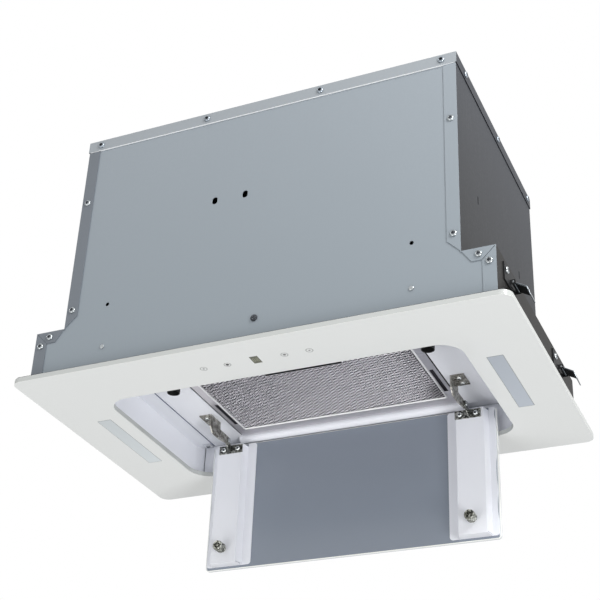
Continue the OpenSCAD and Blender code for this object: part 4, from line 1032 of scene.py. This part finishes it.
def knurled(bm, base, rim):
    for vert in bm.verts:
        out = vert.co - Vector(base)
        out.y = 0
        step = round(math.atan2(out.z, out.x) * knurl_steps / (2 * math.pi))
        if abs(out.length - rim) < near_enough and step % 2:
            vert.co -= out.normalized() * knurl_deep


def open_ring(bm, base, out, radius):
    middle = Vector(base) - Vector((0, out, 0))
    return [
        edge for edge in bm.edges if edge.is_boundary
        and all(abs((vert.co - middle).length - radius) < near_enough for vert in edge.verts)]


def cross_edges(bm, base, out, reach, half_w):
    outline = [
        (reach, half_w), (half_w, half_w), (half_w, reach), (-half_w, reach), (-half_w, half_w),
        (-reach, half_w), (-reach, -half_w), (-half_w, -half_w), (-half_w, -reach),
        (half_w, -reach), (half_w, -half_w), (reach, -half_w)]
    points = [bm.verts.new((base[0] + x, base[1] - out, base[2] + z)) for x, z in outline]
    return [bm.edges.new(pair) for pair in zip(points, points[1:] + points[:1])]


stud_low, stud_high = corners_of("catch_studs")
web_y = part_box("left_door_rail")[0][1]
stud_len = web_y - stud_low.y
stud_r = (stud_high.z - stud_low.z) / 2
stud_z = (stud_high.z + stud_low.z) / 2
stud_x = stud_high.x - stud_r
neck_r, shoulder_r, face_r = 0.66 * stud_r, 0.9 * stud_r, 0.92 * stud_r
cross_reach, cross_half, cross_deep, root = 0.6 * stud_r, 0.14 * stud_r, 0.0016, 0.002
stud_profile = [
    (neck_r, -root), (neck_r, 0.2 * stud_len), (shoulder_r, 0.22 * stud_len),
    (stud_r, 0.27 * stud_len), (stud_r, 0.94 * stud_len), (face_r, stud_len)]
bm = bmesh.new()
for side in (-1, 1):
    base = (side * stud_x, web_y, stud_z)
    spun(bm, base, stud_profile)
    knurled(bm, base, stud_r)
    rim = open_ring(bm, base, stud_len, face_r)
    cross = cross_edges(bm, base, stud_len, cross_reach, cross_half)
    sunk = verts_of(bmesh.ops.extrude_edge_only(bm, edges=cross)["geom"])
    bmesh.ops.translate(bm, verts=sunk, vec=(0, cross_deep, 0))
    bmesh.ops.contextual_create(bm, geom=edges_between(bm, sunk))
    bmesh.ops.triangle_fill(bm, edges=rim + cross, use_beauty=True, use_dissolve=False)
    bmesh.ops.contextual_create(bm, geom=open_ring(bm, base, -root, neck_r))


def over_cross(point):
    on_face = abs(point.y - stud_low.y) < near_enough
    from_middle = max(abs(abs(point.x) - stud_x), abs(point.z - stud_z))
    return on_face and from_middle < cross_reach + near_enough


inner_cross = [face for face in bm.faces if all(over_cross(vert.co) for vert in face.verts)]
print("Faces inside the crosses:", len(inner_cross))
bmesh.ops.delete(bm, geom=inner_cross, context="FACES")
bmesh.ops.recalc_face_normals(bm, faces=bm.faces)
studs = finished(bm, "knurled_studs", "door", finishes["nickel"], "zinc", 24)
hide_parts("catch_studs")
print("Studs:", len(studs.data.polygons), "faces")

# %% [markdown]
# The door's rails are pressed sheet, so their long folds are round, with a radius of about two
# millimetres, and the corners of their flanges are cut round. Both are bevels, chosen by where an
# edge lies.
# %% Door rails
rail_low, rail_high = corners_of("right_door_rail")
rim_near, end_near, relief_near, lap_len = 0.0002, 0.001, 0.002, 0.007
long_fold, cross_fold, fold_turn = 0.1, 0.03, math.radians(20)
corner_r, fold_r = 0.004, 0.0016


def rail_edges(bm):
    folds, corners = [], []
    for edge in bm.edges:
        first, second = (vert.co for vert in edge.verts)
        middle, length = (first + second) / 2, edge.calc_length()
        from_middle = abs(middle.x)
        on_rim = min(abs(from_middle - rail_low.x), abs(from_middle - rail_high.x)) < rim_near
        across_sheet = abs(first.y - second.y) > 0.9 * length
        beside_relief = from_middle > rail_high.x - end_near and middle.z > rail_low.z + end_near
        on_end = min(abs(middle.z - rail_low.z), abs(middle.z - rail_high.z)) < end_near
        if on_rim and across_sheet and on_end and not beside_relief:
            corners.append(edge)
        is_fold = len(edge.link_faces) == 2 and edge.calc_face_angle(0) > fold_turn
        long_one = length > long_fold or abs(first.x - second.x) > cross_fold
        on_relief = from_middle > rail_high.x - relief_near
        on_lap = middle.z >= rail_high.z - lap_len
        if is_fold and long_one and not (on_rim or on_relief or on_lap):
            folds.append(edge)
    return folds, corners


for name in ("left_door_rail", "right_door_rail"):
    bm = merged_copy(name)
    corners = rail_edges(bm)[1]
    corner_count = len(corners)
    rounded(bm, corners, corner_r, 5)
    folds = rail_edges(bm)[0]
    fold_count = len(folds)
    rounded(bm, folds, fold_r, 4)
    rail = finished(bm, name + "_pressed", "door", finish_of[name], slot_of[name], 40)
    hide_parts(name)
    print(name, "has", fold_count, "folds and", corner_count, "corners rounded")
